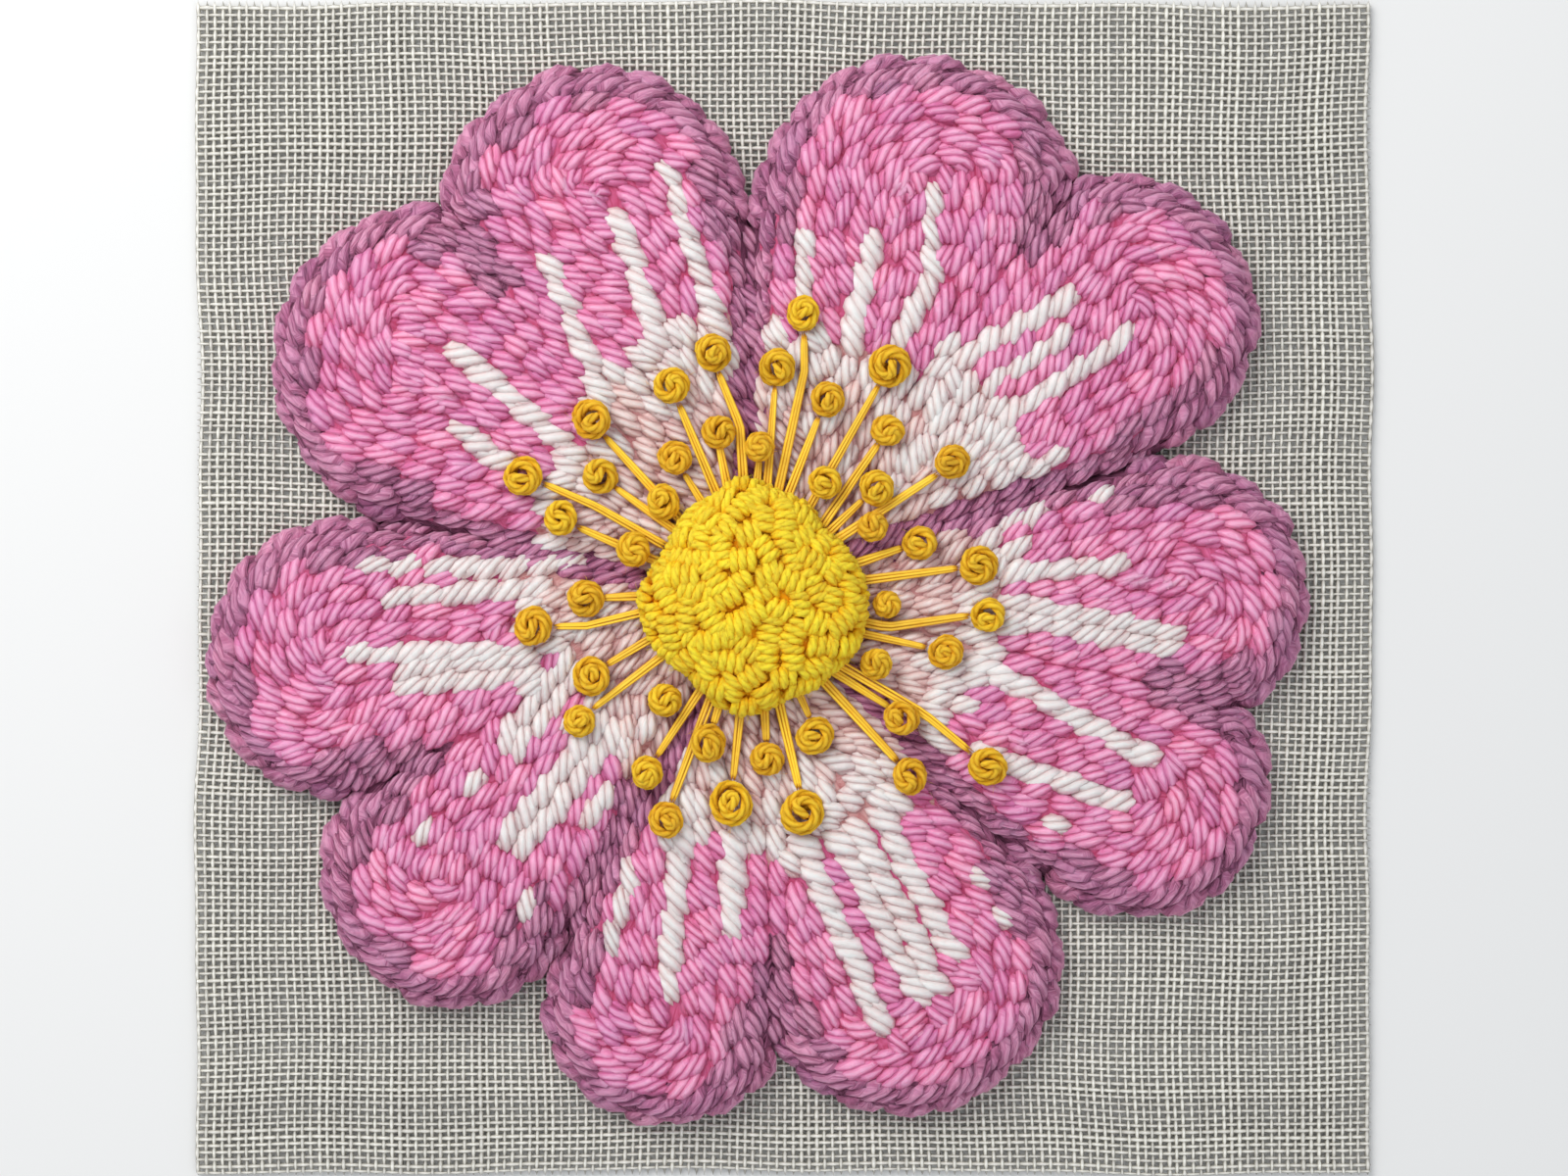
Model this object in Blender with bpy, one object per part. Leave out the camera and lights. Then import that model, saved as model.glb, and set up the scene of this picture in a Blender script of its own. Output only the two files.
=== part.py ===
"""A five-petalled rose worked in wool on a flat square of open linen.

Frame: metres, +Z up from the cloth towards the viewer, +Y towards the top of the work.
The origin is the middle of the cloth's underside. Every piece clears its neighbour by about 0.3 mm.
"""
import math
from collections import namedtuple

import bmesh
import bpy
from mathutils import Vector

MM = 0.001

# Ground cloth
CLOTH_SIDE = 0.138
CLOTH_THICKNESS = 0.0010
SEAT_GAP = 0.0003

# Flower and the relief of its petals, with heights taken from the cloth's face
FLOWER_CENTRE = Vector((-0.0037, -0.0006, 0.0))
PETAL_INNER_REACH = 0.0100
RIM_HEIGHT = 0.0012
INNER_CROWN = 0.0036
OUTER_CROWN = 0.0048
CROWN_RISE_FROM = 0.015
CROWN_RISE_TO = 0.035
RIM_ROLL = 0.0040
ROLL_FADE = 0.012
GROOVE_WIDTH = 0.0024
PETAL_GROOVE = 0.50
NOTCH_GROOVE = 0.45
NOTCH_GROOVE_INNER = 0.10
NOTCH_FADE = 0.014
COLUMNS_PER_LOBE = 12
BODY_ROWS = 7
ROLL_ROWS = 5

# Raised centre of loops
STEM_RADIUS = 0.0096
CAP_REACH = 0.0128
CAP_UNDERSIDE = 0.0049
CAP_HEIGHT = 0.0101
CAP_COLUMNS = 48
CAP_LUMPS_ROUND = 12
CAP_LUMP_LENGTH = 0.0070
CAP_LUMP_HEIGHT = 0.00035

# Stamens: floss from a ring under the centre's cap out to the wool knots
RING_INNER = 0.0100
RING_OUTER = 0.0107
RING_BOTTOM = 0.00395
RING_HEIGHT = 0.0006
ROOT_HALF_DEG = 2.1
STRAND_WIDTH = 0.0009
STRAND_THICKNESS = 0.0005
STRAND_CLEARANCE = 0.00038
STRAND_SEGMENTS = 5
TAUT_SAMPLES = 24
KNOT_SIDES = 8
KNOT_HEIGHT_RATIO = 0.52
KNOT_CLEARANCE = 0.00040

Lobe = namedtuple("Lobe", "start_deg tip_deg tip_distance_mm tip_radius_mm")
Petal = namedtuple("Petal", "name first second end_deg")
PETALS = (
    Petal("petal_upper_right", Lobe(19.0, 37.4, 53.1, 16.5), Lobe(52.0, 66.0, 47.5, 19.2), 90.4),
    Petal("petal_upper_left", Lobe(90.4, 113.0, 47.5, 17.8), Lobe(129.0, 144.5, 45.7, 18.6), 169.0),
    Petal("petal_left", Lobe(169.0, 189.3, 47.9, 16.3), Lobe(206.5, 223.3, 47.8, 15.3), 241.5),
    Petal("petal_bottom", Lobe(241.5, 258.5, 48.6, 14.4), Lobe(273.0, 292.4, 45.9, 18.3), 315.6),
    Petal("petal_right", Lobe(315.6, 333.5, 50.3, 15.3), Lobe(347.0, 359.8, 48.7, 16.0), 379.0),
)

# Outline of the centre's cap
CapPoint = namedtuple("CapPoint", "angle_deg reach_mm")
CAP_OUTLINE = tuple(CapPoint(*row) for row in (
    (3, 13.3), (20, 12.4), (45, 11.2), (58, 12.5), (76, 12.2), (96, 13.3), (113, 12.0), (130, 12.0),
    (153, 11.2), (182, 13.3), (209, 13.1), (232, 12.2), (265, 14.2), (291, 13.1), (308, 13.4),
    (328, 13.8),
))

# Turned profile of the cap: share of its mean reach, share of its height
CAP_PROFILE = (
    (0.93, 0.0), (1.0, 0.26), (0.95, 0.52), (0.82, 0.76), (0.62, 0.91), (0.38, 0.98), (0.16, 1.0),
)

# Turned profile of a knot: share of its radius, share of its height
KNOT_PROFILE = ((0.62, 0.0), (0.95, 0.28), (1.0, 0.5), (0.86, 0.8), (0.55, 1.0), (0.2, 0.82))
KNOT_DIMPLE = 0.70

# A knot's place about the flower's centre, and where its floss leaves the ring (None where none shows)
Knot = namedtuple("Knot", "angle_deg reach_mm diameter_mm root_deg bends")
KNOTS = tuple(Knot(*row) for row in (
    (79.5, 32.9, 4.4, 75.5, ((76.8, 26.5),)),
    (83.9, 26.3, 4.6, 81.5, ()),
    (69.2, 24.0, 4.6, 70.0, ()),
    (58.9, 30.9, 5.2, 56.0, ()),
    (99.7, 28.1, 4.4, 94.5, ((94.1, 19.5),)),
    (111.3, 25.7, 4.6, 109.2, ()),
    (102.4, 19.5, 4.1, 103.5, ()),
    (133.1, 27.6, 5.1, 134.6, ()),
    (142.5, 22.3, 4.7, 140.4, ()),
    (119.9, 18.0, 4.5, 118.5, ()),
    (133.0, 14.6, 4.3, None, ()),
    (152.6, 29.8, 4.8, 151.5, ((150.9, 20.8),)),
    (159.0, 23.8, 4.6, 162.0, ()),
    (160.1, 14.6, 4.3, None, ()),
    (86.8, 17.2, 4.0, 88.0, ()),
    (50.3, 24.7, 4.0, 43.5, ()),
    (57.1, 15.5, 4.2, None, ()),
    (40.5, 18.8, 4.4, 38.0, ()),
    (32.8, 27.8, 4.6, 32.5, ()),
    (28.2, 15.8, 4.0, None, ()),
    (17.0, 20.4, 4.5, 15.5, ()),
    (7.0, 26.5, 4.8, 6.5, ()),
    (355.2, 27.5, 4.3, 345.0, ((345.9, 16.2),)),
    (355.5, 15.7, 3.8, None, ()),
    (343.1, 23.3, 4.5, 337.5, ()),
    (330.2, 16.5, 3.9, None, ()),
    (321.1, 22.9, 4.4, 313.5, ()),
    (323.8, 33.9, 4.9, 319.0, ((325.0, 24.4),)),
    (311.0, 28.2, 4.6, 308.3, ()),
    (294.5, 18.1, 4.9, 295.0, ()),
    (283.5, 26.0, 5.4, 284.0, ()),
    (275.2, 19.3, 4.3, 276.5, ()),
    (264.3, 24.3, 5.3, 264.5, ()),
    (253.7, 18.0, 4.7, 253.7, ()),
    (249.0, 28.2, 4.5, 248.3, ()),
    (230.8, 16.2, 4.5, None, ()),
    (239.5, 24.0, 4.1, 243.0, ()),
    (216.1, 24.8, 4.1, 214.5, ()),
    (206.7, 21.0, 4.7, 202.5, ()),
    (188.8, 25.6, 4.9, 189.0, ((191.1, 19.6),)),
    (181.8, 19.4, 4.5, 181.0, ()),
))

# Material: base colour, roughness
LINEN = ((0.66, 0.65, 0.59), 0.95)
PINK_WOOL = ((0.74, 0.24, 0.46), 0.90)
YELLOW_WOOL = ((0.83, 0.66, 0.03), 0.90)
OCHRE_WOOL = ((0.68, 0.37, 0.03), 0.90)
GOLD_FLOSS = ((0.90, 0.49, 0.02), 0.45)


def polar(angle_deg, reach, height=0.0):
    """Point at an angle and reach about the flower's centre."""
    angle = math.radians(angle_deg)
    return FLOWER_CENTRE + Vector((reach * math.cos(angle), reach * math.sin(angle), height))


def smoothstep(low, high, value):
    """Smooth rise from 0 at low to 1 at high."""
    share = min(max((value - low) / (high - low), 0.0), 1.0)
    return share * share * (3.0 - 2.0 * share)


def lobe_shoulder(lobe):
    """Reach at which the lobe's straight sides meet its round tip."""
    return math.sqrt(lobe.tip_distance_mm ** 2 - lobe.tip_radius_mm ** 2) * MM


def lobe_spread(lobe):
    """Half angle, in radians, between the lobe's straight sides."""
    return math.asin(lobe.tip_radius_mm / lobe.tip_distance_mm)


def lobe_reach(lobe, angle_deg):
    """Reach of the lobe's outline at an angle."""
    turn = min(abs(math.radians(angle_deg - lobe.tip_deg)), lobe_spread(lobe))
    distance = lobe.tip_distance_mm * MM
    radius = lobe.tip_radius_mm * MM
    return distance * math.cos(turn) + math.sqrt(max(radius ** 2 - (distance * math.sin(turn)) ** 2, 0.0))


def rim_depth(lobe, angle_deg, reach):
    """Distance in from the lobe's outline: its round tip, or further in its straight sides."""
    turn = abs(math.radians(angle_deg - lobe.tip_deg))
    distance = lobe.tip_distance_mm * MM
    along = reach * math.cos(turn) - distance
    across = reach * math.sin(turn)
    spread = lobe_spread(lobe)
    if math.atan2(across, along) <= math.pi / 2 + spread:
        return max(lobe.tip_radius_mm * MM - math.hypot(along, across), 0.0)
    return max(reach * math.sin(spread - turn), 0.0)


def quarter_round(depth):
    """Share of the full height at a depth in from a rolled edge."""
    share = min(depth / RIM_ROLL, 1.0)
    return math.sqrt(max(1.0 - (1.0 - share) ** 2, 0.0))


def groove(angle_deg, groove_deg, reach, depth):
    """Factor that draws the surface down along a radial groove."""
    turn = min(abs(math.radians(angle_deg - groove_deg)), math.pi / 2)
    away = reach * math.sin(turn)
    return 1.0 - depth * math.exp(-(away / GROOVE_WIDTH) ** 2)


def petal_height(petal, angle_deg, reach):
    """Height of the petal's surface above the cloth's face."""
    lobe = petal.first if angle_deg < petal.second.start_deg else petal.second
    notch_deg = petal.second.start_deg
    notch_reach = lobe_reach(petal.second, notch_deg)
    crown = INNER_CROWN + (OUTER_CROWN - INNER_CROWN) * smoothstep(CROWN_RISE_FROM, CROWN_RISE_TO, reach)
    shoulder = lobe_shoulder(lobe)
    rolled = smoothstep(shoulder - ROLL_FADE, shoulder, reach)
    roll = 1.0 - rolled * (1.0 - quarter_round(rim_depth(lobe, angle_deg, reach)))
    near_notch = smoothstep(notch_reach - NOTCH_FADE, notch_reach, reach)
    notch = NOTCH_GROOVE_INNER + (NOTCH_GROOVE - NOTCH_GROOVE_INNER) * near_notch
    fall = roll * groove(angle_deg, notch_deg, reach, notch)
    fall *= groove(angle_deg, petal.first.start_deg, reach, PETAL_GROOVE)
    fall *= groove(angle_deg, petal.end_deg, reach, PETAL_GROOVE)
    return RIM_HEIGHT + (crown - RIM_HEIGHT) * fall


def flower_height(point):
    """Height of the worked surface under a point, above the cloth's underside."""
    offset = point - FLOWER_CENTRE
    angle_deg = math.degrees(math.atan2(offset.y, offset.x)) % 360.0
    if angle_deg < PETALS[0].first.start_deg:
        angle_deg += 360.0
    for petal in PETALS:
        if angle_deg <= petal.end_deg:
            return CLOTH_THICKNESS + petal_height(petal, angle_deg, math.hypot(offset.x, offset.y))
    return CLOTH_THICKNESS


def cap_reach(angle_deg):
    """Reach of the cap's lumpy outline at an angle, eased between its points."""
    first = CAP_OUTLINE[0]
    closed = CAP_OUTLINE + (CapPoint(first.angle_deg + 360.0, first.reach_mm),)
    if angle_deg < first.angle_deg:
        angle_deg += 360.0
    for before, after in zip(closed, closed[1:]):
        if angle_deg <= after.angle_deg:
            share = smoothstep(before.angle_deg, after.angle_deg, angle_deg)
            return (before.reach_mm + (after.reach_mm - before.reach_mm) * share) * MM
    return first.reach_mm * MM


def finish(name, mesh_data, colour):
    """Close, shade and colour a piece, and add it to the scene."""
    bmesh.ops.recalc_face_normals(mesh_data, faces=mesh_data.faces)
    mesh = bpy.data.meshes.new(name)
    mesh_data.to_mesh(mesh)
    mesh_data.free()
    mesh.shade_smooth()
    mesh.set_sharp_from_angle(angle=math.radians(50.0))
    base, roughness = colour
    material = bpy.data.materials.new(name)
    material.use_nodes = True
    shader = material.node_tree.nodes["Principled BSDF"]
    shader.inputs["Base Color"].default_value = (*base, 1.0)
    shader.inputs["Roughness"].default_value = roughness
    shader.inputs["Metallic"].default_value = 0.0
    mesh.materials.append(material)
    piece = bpy.data.objects.new(name, mesh)
    bpy.context.scene.collection.objects.link(piece)
    return piece


def make_cloth():
    """The flat square of linen, cut with straight raw edges."""
    cloth = bmesh.new()
    bmesh.ops.create_cube(cloth, size=1.0)
    bmesh.ops.scale(cloth, vec=(CLOTH_SIDE, CLOTH_SIDE, CLOTH_THICKNESS), verts=cloth.verts)
    bmesh.ops.translate(cloth, vec=(0.0, 0.0, CLOTH_THICKNESS / 2), verts=cloth.verts)
    finish("cloth", cloth, LINEN)


def column_angles(petal, reach):
    """Angles of the petal's columns at a reach, closer together beside its grooves."""
    side = math.degrees(math.asin(SEAT_GAP / 2 / reach))
    spans = (
        (petal.first.start_deg + side, petal.second.start_deg),
        (petal.second.start_deg, petal.end_deg - side),
    )
    angles = []
    for low, high in spans:
        for step in range(COLUMNS_PER_LOBE):
            share = (1.0 - math.cos(math.pi * step / COLUMNS_PER_LOBE)) / 2
            angles.append(low + (high - low) * share)
    angles.append(spans[1][1])
    return angles


def row_reach(petal, column, row):
    """Reach of one point of the petal's grid, with close rows where the rim rolls down."""
    angle_deg = column_angles(petal, lobe_shoulder(petal.first))[column]
    lobe = petal.first if column < COLUMNS_PER_LOBE else petal.second
    outer = lobe_reach(lobe, angle_deg)
    body_end = outer - RIM_ROLL
    if row <= BODY_ROWS:
        return PETAL_INNER_REACH + (body_end - PETAL_INNER_REACH) * row / BODY_ROWS
    turn = math.pi / 2 * (row - BODY_ROWS) / ROLL_ROWS
    return body_end + RIM_ROLL * math.sin(turn)


def make_petal(petal):
    """One heart-shaped petal: a domed top, rolled rim, and flat underside just above the cloth."""
    columns = 2 * COLUMNS_PER_LOBE
    rows = BODY_ROWS + ROLL_ROWS
    body = bmesh.new()
    bmesh.ops.create_grid(body, x_segments=columns, y_segments=rows, size=1.0)
    for vert in body.verts:
        column = round((vert.co.x + 1.0) / 2 * columns)
        row = round((vert.co.y + 1.0) / 2 * rows)
        reach = row_reach(petal, column, row)
        angle_deg = column_angles(petal, reach)[column]
        height = CLOTH_THICKNESS + petal_height(petal, angle_deg, reach)
        vert.co = polar(angle_deg, reach, height)
    edges = [edge for edge in body.edges if edge.is_boundary]
    skirt = bmesh.ops.extrude_edge_only(body, edges=edges)["geom"]
    for vert in (item for item in skirt if isinstance(item, bmesh.types.BMVert)):
        vert.co.z = CLOTH_THICKNESS + SEAT_GAP
    foot = [edge for edge in body.edges if edge.is_boundary]
    bmesh.ops.edgeloop_fill(body, edges=foot)
    finish(petal.name, body, PINK_WOOL)


def turned_body(profile, steps):
    """A closed body turned about the flower's axis from reach and height pairs that end on the axis."""
    body = bmesh.new()
    verts = [body.verts.new((reach, 0.0, height)) for reach, height in profile]
    edges = [body.edges.new(pair) for pair in zip(verts, verts[1:])]
    bmesh.ops.spin(
        body, geom=verts + edges, cent=(0, 0, 0), axis=(0, 0, 1), angle=2 * math.pi, steps=steps,
        use_merge=True,
    )
    bmesh.ops.remove_doubles(body, verts=body.verts, dist=0.00001)
    return body


def make_centre():
    """The raised centre: a stem through the flower and a lumpy cap that overhangs the floss."""
    base = CLOTH_THICKNESS + SEAT_GAP
    underside = CLOTH_THICKNESS + CAP_UNDERSIDE
    rise = CAP_HEIGHT - CAP_UNDERSIDE
    stem = [(0.0, base), (STEM_RADIUS, base), (STEM_RADIUS, underside)]
    cap = [(share * CAP_REACH, underside + rise * level) for share, level in CAP_PROFILE]
    body = turned_body(stem + cap + [(0.0, underside + rise)], CAP_COLUMNS)
    for vert in body.verts:
        reach = math.hypot(vert.co.x, vert.co.y)
        height = vert.co.z
        angle_deg = math.degrees(math.atan2(vert.co.y, vert.co.x)) % 360.0
        if height > underside + rise / 2:
            lump = math.sin(math.radians(CAP_LUMPS_ROUND * angle_deg))
            height += CAP_LUMP_HEIGHT * lump * math.cos(2 * math.pi * reach / CAP_LUMP_LENGTH)
        if reach > STEM_RADIUS * 1.01:
            reach *= cap_reach(angle_deg) / CAP_REACH
        vert.co = polar(angle_deg, reach, height)
    finish("centre", body, YELLOW_WOOL)


def strand_route(knot):
    """Plan points of a knot's floss, from the ring to just short of the knot."""
    target = polar(knot.angle_deg, knot.reach_mm * MM)
    points = [polar(knot.root_deg, RING_OUTER)]
    points += [polar(angle_deg, reach_mm * MM) for angle_deg, reach_mm in knot.bends]
    approach = (target - points[-1]).normalized()
    points.append(target - approach * (knot.diameter_mm * MM / 2 + SEAT_GAP))
    return points


def along_route(points, share):
    """Point and direction at a share of a route's length."""
    lengths = [(after - before).length for before, after in zip(points, points[1:])]
    distance = share * sum(lengths)
    for before, after, length in zip(points, points[1:], lengths):
        if distance <= length or after is points[-1]:
            direction = (after - before).normalized()
            return before + direction * distance, direction
        distance -= length


def taut_heights(points):
    """Heights of evenly spaced points of a floss pulled taut over the petals, at its underside."""
    heights = []
    for step in range(TAUT_SAMPLES + 1):
        place, direction = along_route(points, step / TAUT_SAMPLES)
        side = Vector((-direction.y, direction.x, 0.0)) * STRAND_WIDTH / 2
        under = max(flower_height(place + side * edge) for edge in (-1.0, 0.0, 1.0))
        heights.append(under + STRAND_CLEARANCE)
    heights[0] = max(heights[0], CLOTH_THICKNESS + RING_BOTTOM)
    hull = [0]
    for step in range(1, TAUT_SAMPLES + 1):
        while len(hull) > 1 and rises(heights, hull[-2], hull[-1], step):
            hull.pop()
        hull.append(step)
    taut = list(heights)
    for low, high in zip(hull, hull[1:]):
        for step in range(low, high + 1):
            share = (step - low) / (high - low)
            taut[step] = heights[low] + (heights[high] - heights[low]) * share
    return taut


def rises(heights, first, middle, last):
    """Whether the middle point lies on or under the straight line from first to last."""
    line = heights[first] + (heights[last] - heights[first]) * (middle - first) / (last - first)
    return heights[middle] <= line


def strand_points(knot):
    """Evenly spaced points and directions of a knot's floss, at its underside."""
    points = strand_route(knot)
    heights = taut_heights(points)
    stations = []
    for step, height in enumerate(heights):
        place, direction = along_route(points, step / TAUT_SAMPLES)
        stations.append((Vector((place.x, place.y, height)), direction))
    return stations


def knot_base(knot, strands):
    """Height of a knot's underside: clear of the petals and of any floss that runs under it."""
    centre = polar(knot.angle_deg, knot.reach_mm * MM)
    radius = knot.diameter_mm * MM / 2
    base = flower_height(centre)
    for step in range(4 * KNOT_SIDES):
        angle = 2 * math.pi * step / (4 * KNOT_SIDES)
        edge = Vector((math.cos(angle), math.sin(angle), 0.0)) * radius
        base = max(base, flower_height(centre + edge), flower_height(centre + edge / 2))
    base += KNOT_CLEARANCE
    for owner, stations in strands:
        for place, _ in stations:
            away = (place.xy - centre.xy).length - radius - STRAND_WIDTH / 2
            if owner is not knot and away < SEAT_GAP:
                base = max(base, place.z + STRAND_THICKNESS + SEAT_GAP)
    return base


def make_knot(name, knot, strands):
    """One knot of wound wool: a flattened bead with a dimple on top."""
    radius = knot.diameter_mm * MM / 2
    height = knot.diameter_mm * MM * KNOT_HEIGHT_RATIO
    base = knot_base(knot, strands)
    profile = [(0.0, base)]
    profile += [(share * radius, base + level * height) for share, level in KNOT_PROFILE]
    profile.append((0.0, base + KNOT_DIMPLE * height))
    body = turned_body(profile, KNOT_SIDES)
    bmesh.ops.translate(body, vec=polar(knot.angle_deg, knot.reach_mm * MM), verts=body.verts)
    finish(name, body, OCHRE_WOOL)


def ring_stations(roots):
    """Angles round the ring, with a pair at each root and more across wide gaps."""
    edges = []
    for root in sorted(roots):
        edges += [root - ROOT_HALF_DEG, root + ROOT_HALF_DEG]
    angles = []
    for index, low in enumerate(edges):
        high = edges[index + 1] if index + 1 < len(edges) else edges[0] + 360.0
        angles.append(low)
        parts = math.ceil((high - low) / 10.0)
        angles += [low + (high - low) * part / parts for part in range(1, parts)]
    return angles


def grow_strand(body, face, stations):
    """Extrude a floss from its root face along its stations."""
    length = len(stations) - 1
    for segment in range(1, STRAND_SEGMENTS + 1):
        place, direction = stations[round(length * segment / STRAND_SEGMENTS)]
        side = Vector((-direction.y, direction.x, 0.0))
        middle = face.calc_center_median()
        face = bmesh.ops.extrude_discrete_faces(body, faces=[face])["faces"][0]
        for vert in face.verts:
            across = 0.5 if (vert.co - middle).dot(side) > 0.0 else -0.5
            up = STRAND_THICKNESS if vert.co.z > middle.z else 0.0
            vert.co = place + side * across * STRAND_WIDTH + Vector((0.0, 0.0, up))


def make_filaments(strands):
    """All the floss in one piece, its roots fused to a thin ring under the cap."""
    low = CLOTH_THICKNESS + RING_BOTTOM
    high = low + RING_HEIGHT
    section = ((RING_INNER, low), (RING_OUTER, low), (RING_OUTER, high), (RING_INNER, high))
    angles = ring_stations([knot.root_deg for knot, _ in strands])
    body = bmesh.new()
    loops = [[body.verts.new(polar(angle, *corner)) for corner in section] for angle in angles]
    roots = {}
    for index, loop in enumerate(loops):
        after = loops[(index + 1) % len(loops)]
        for corner in range(len(section)):
            following = (corner + 1) % len(section)
            face = body.faces.new((loop[corner], loop[following], after[following], after[corner]))
            if corner == 1:
                roots[round(angles[index] + ROOT_HALF_DEG, 3)] = face
    for knot, stations in strands:
        grow_strand(body, roots[round(knot.root_deg, 3)], stations)
    finish("filaments", body, GOLD_FLOSS)


def main():
    for existing in list(bpy.data.objects):
        bpy.data.objects.remove(existing, do_unlink=True)
    make_cloth()
    for petal in PETALS:
        make_petal(petal)
    make_centre()
    strands = [(knot, strand_points(knot)) for knot in KNOTS if knot.root_deg is not None]
    make_filaments(strands)
    for number, knot in enumerate(KNOTS, start=1):
        make_knot(f"knot_{number:02d}", knot, strands)


main()
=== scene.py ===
"""The looks of the wool rose on linen: stitches, loops, knots, floss and threads as real geometry.

Metres, in the same frame as the solids: +Z towards the viewer, +Y to the top of the work.
"""
import math
from collections import namedtuple

import bpy
import numpy as np
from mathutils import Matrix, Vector


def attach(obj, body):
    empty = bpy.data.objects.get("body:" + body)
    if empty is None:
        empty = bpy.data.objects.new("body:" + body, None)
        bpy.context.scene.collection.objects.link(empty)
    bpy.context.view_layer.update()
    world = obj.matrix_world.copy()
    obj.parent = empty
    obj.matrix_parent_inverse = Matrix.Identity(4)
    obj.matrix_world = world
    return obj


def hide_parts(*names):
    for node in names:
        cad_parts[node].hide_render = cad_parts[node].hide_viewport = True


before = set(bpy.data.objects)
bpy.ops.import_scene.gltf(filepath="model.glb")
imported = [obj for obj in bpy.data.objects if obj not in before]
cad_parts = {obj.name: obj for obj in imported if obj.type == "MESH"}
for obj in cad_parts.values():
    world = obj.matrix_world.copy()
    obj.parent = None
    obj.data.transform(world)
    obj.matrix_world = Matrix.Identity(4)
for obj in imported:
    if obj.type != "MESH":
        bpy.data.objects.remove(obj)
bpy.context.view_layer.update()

MM = 0.001
rng = np.random.default_rng(41)

# Sizes shared with the solids
CLOTH_SIDE = 138 * MM
CLOTH_FACE = 1.0 * MM
UNDERSIDE = 0.05 * MM
FLOWER_X = -3.7 * MM
FLOWER_Y = -0.6 * MM
FLOWER = np.array([FLOWER_X, FLOWER_Y])
UP = np.array([0.0, 0.0, 1.0])
RIM_HEIGHT = 1.2 * MM
INNER_CROWN = 3.6 * MM
OUTER_CROWN = 4.8 * MM
CROWN_RISE = (15 * MM, 35 * MM)
RIM_ROLL = 4.0 * MM
ROLL_FADE = 12 * MM
GROOVE_WIDTH = 2.4 * MM
PETAL_GROOVE = 0.50
NOTCH_GROOVE = (0.10, 0.45)
NOTCH_FADE = 14 * MM
INNER_REACH = 10.2 * MM

# The ten lobes, two to a petal: a groove between petals on one side and the petal's notch on the other
Lobe = namedtuple("Lobe", "petal start_deg tip_deg end_deg distance_mm radius_mm pale_mm")
LOBES = tuple(Lobe(*row) for row in (
    ("petal_upper_right", 19.0, 37.4, 52.0, 53.1, 16.5, 36),
    ("petal_upper_right", 52.0, 66.0, 90.4, 47.5, 19.2, 31),
    ("petal_upper_left", 90.4, 113.0, 129.0, 47.5, 17.8, 31),
    ("petal_upper_left", 129.0, 144.5, 169.0, 45.7, 18.6, 27),
    ("petal_left", 169.0, 189.3, 206.5, 47.9, 16.3, 27),
    ("petal_left", 206.5, 223.3, 241.5, 47.8, 15.3, 26),
    ("petal_bottom", 241.5, 258.5, 273.0, 48.6, 14.4, 30),
    ("petal_bottom", 273.0, 292.4, 315.6, 45.9, 18.3, 31),
    ("petal_right", 315.6, 333.5, 347.0, 50.3, 15.3, 28),
    ("petal_right", 347.0, 359.8, 379.0, 48.7, 16.0, 30),
))

# White streaks in the pink, each from its inner end to its outer end about the flower's centre
Streak = namedtuple("Streak", "inner_deg inner_mm outer_deg outer_mm width_mm")
STREAKS = tuple(Streak(*row) for row in (
    (97, 30, 101.5, 51, 2.8), (110.5, 30, 109.5, 47, 3.2), (126, 32, 121.5, 46, 3.0),
    (141.5, 28, 140.7, 45, 3.4), (153, 32, 150.5, 40, 2.8),
    (178.5, 24, 181, 42.5, 2.6), (194.5, 27, 188.3, 48, 2.8), (199, 26, 193.5, 42.5, 5.0),
    (170, 20, 175, 38, 1.8), (175.4, 39, 176.1, 46, 1.8),
    (201, 21.5, 212.6, 34, 4.8), (222.7, 22, 226.4, 41, 5.6), (214.2, 38, 214.2, 40.5, 2.4),
    (216.3, 46, 216.3, 48.4, 2.2), (234, 43.5, 234, 46, 2.2), (234, 28, 234, 33, 2.6),
    (253, 28, 258.2, 48, 3.8), (246, 34, 248.3, 45, 2.0), (265.5, 28, 266.6, 40, 3.8),
    (281, 29, 286.7, 53, 3.8), (291.4, 29, 294, 51.6, 6.0), (300.4, 29, 299.2, 48.8, 3.2),
    (309, 41.5, 309, 43.5, 2.2), (307.8, 46.5, 307.8, 48.5, 2.2),
    (343.7, 26, 337.3, 50.7, 3.6), (324.8, 32, 330.6, 50.4, 3.8), (322.8, 43.5, 322.8, 45.5, 2.2),
    (356.7, 29, 353.4, 50, 4.8), (4.4, 29, 4.5, 43.5, 2.6), (16.2, 30, 16.2, 36, 2.0),
    (15.9, 41, 15.9, 43.5, 2.0),
    (48.7, 36, 42.8, 51.3, 3.2), (41.2, 36, 39.3, 48, 2.4), (34.7, 35, 34.5, 53.6, 3.0),
    (24.2, 37.5, 24.2, 40, 2.2), (25.8, 33.5, 25.8, 35.5, 2.2), (25.2, 28, 25.2, 30, 2.2),
    (79.8, 31, 81.1, 42.4, 2.4), (68.3, 30, 71, 43.8, 3.4), (59.8, 33, 60.6, 42, 3.0),
    (60.6, 42, 65.9, 51.6, 2.6),
))

# Stitch rows: distance of each row from the edge it follows, and how much wider the rim's rows lie
FIRST_ROW = 1.05 * MM
ROW_PITCH = 2.05 * MM
RIM_EXTRA = (0.60 * MM, 1.30 * MM, 1.35 * MM)
ROW_END = 1.2 * MM
ROW_EASE = 9 * MM
TIGHTEST_TURN = 1.0 * MM
UNDER_DEPTH = 1.1 * MM
UNDER_MARGIN = 0.008
SEAM_ROW = -1
FILLER_ROW = 9
BESIDE_START, ROUND_TIP, BESIDE_END = 0, 1, 2
PATH_STEP = 0.5 * MM

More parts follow.
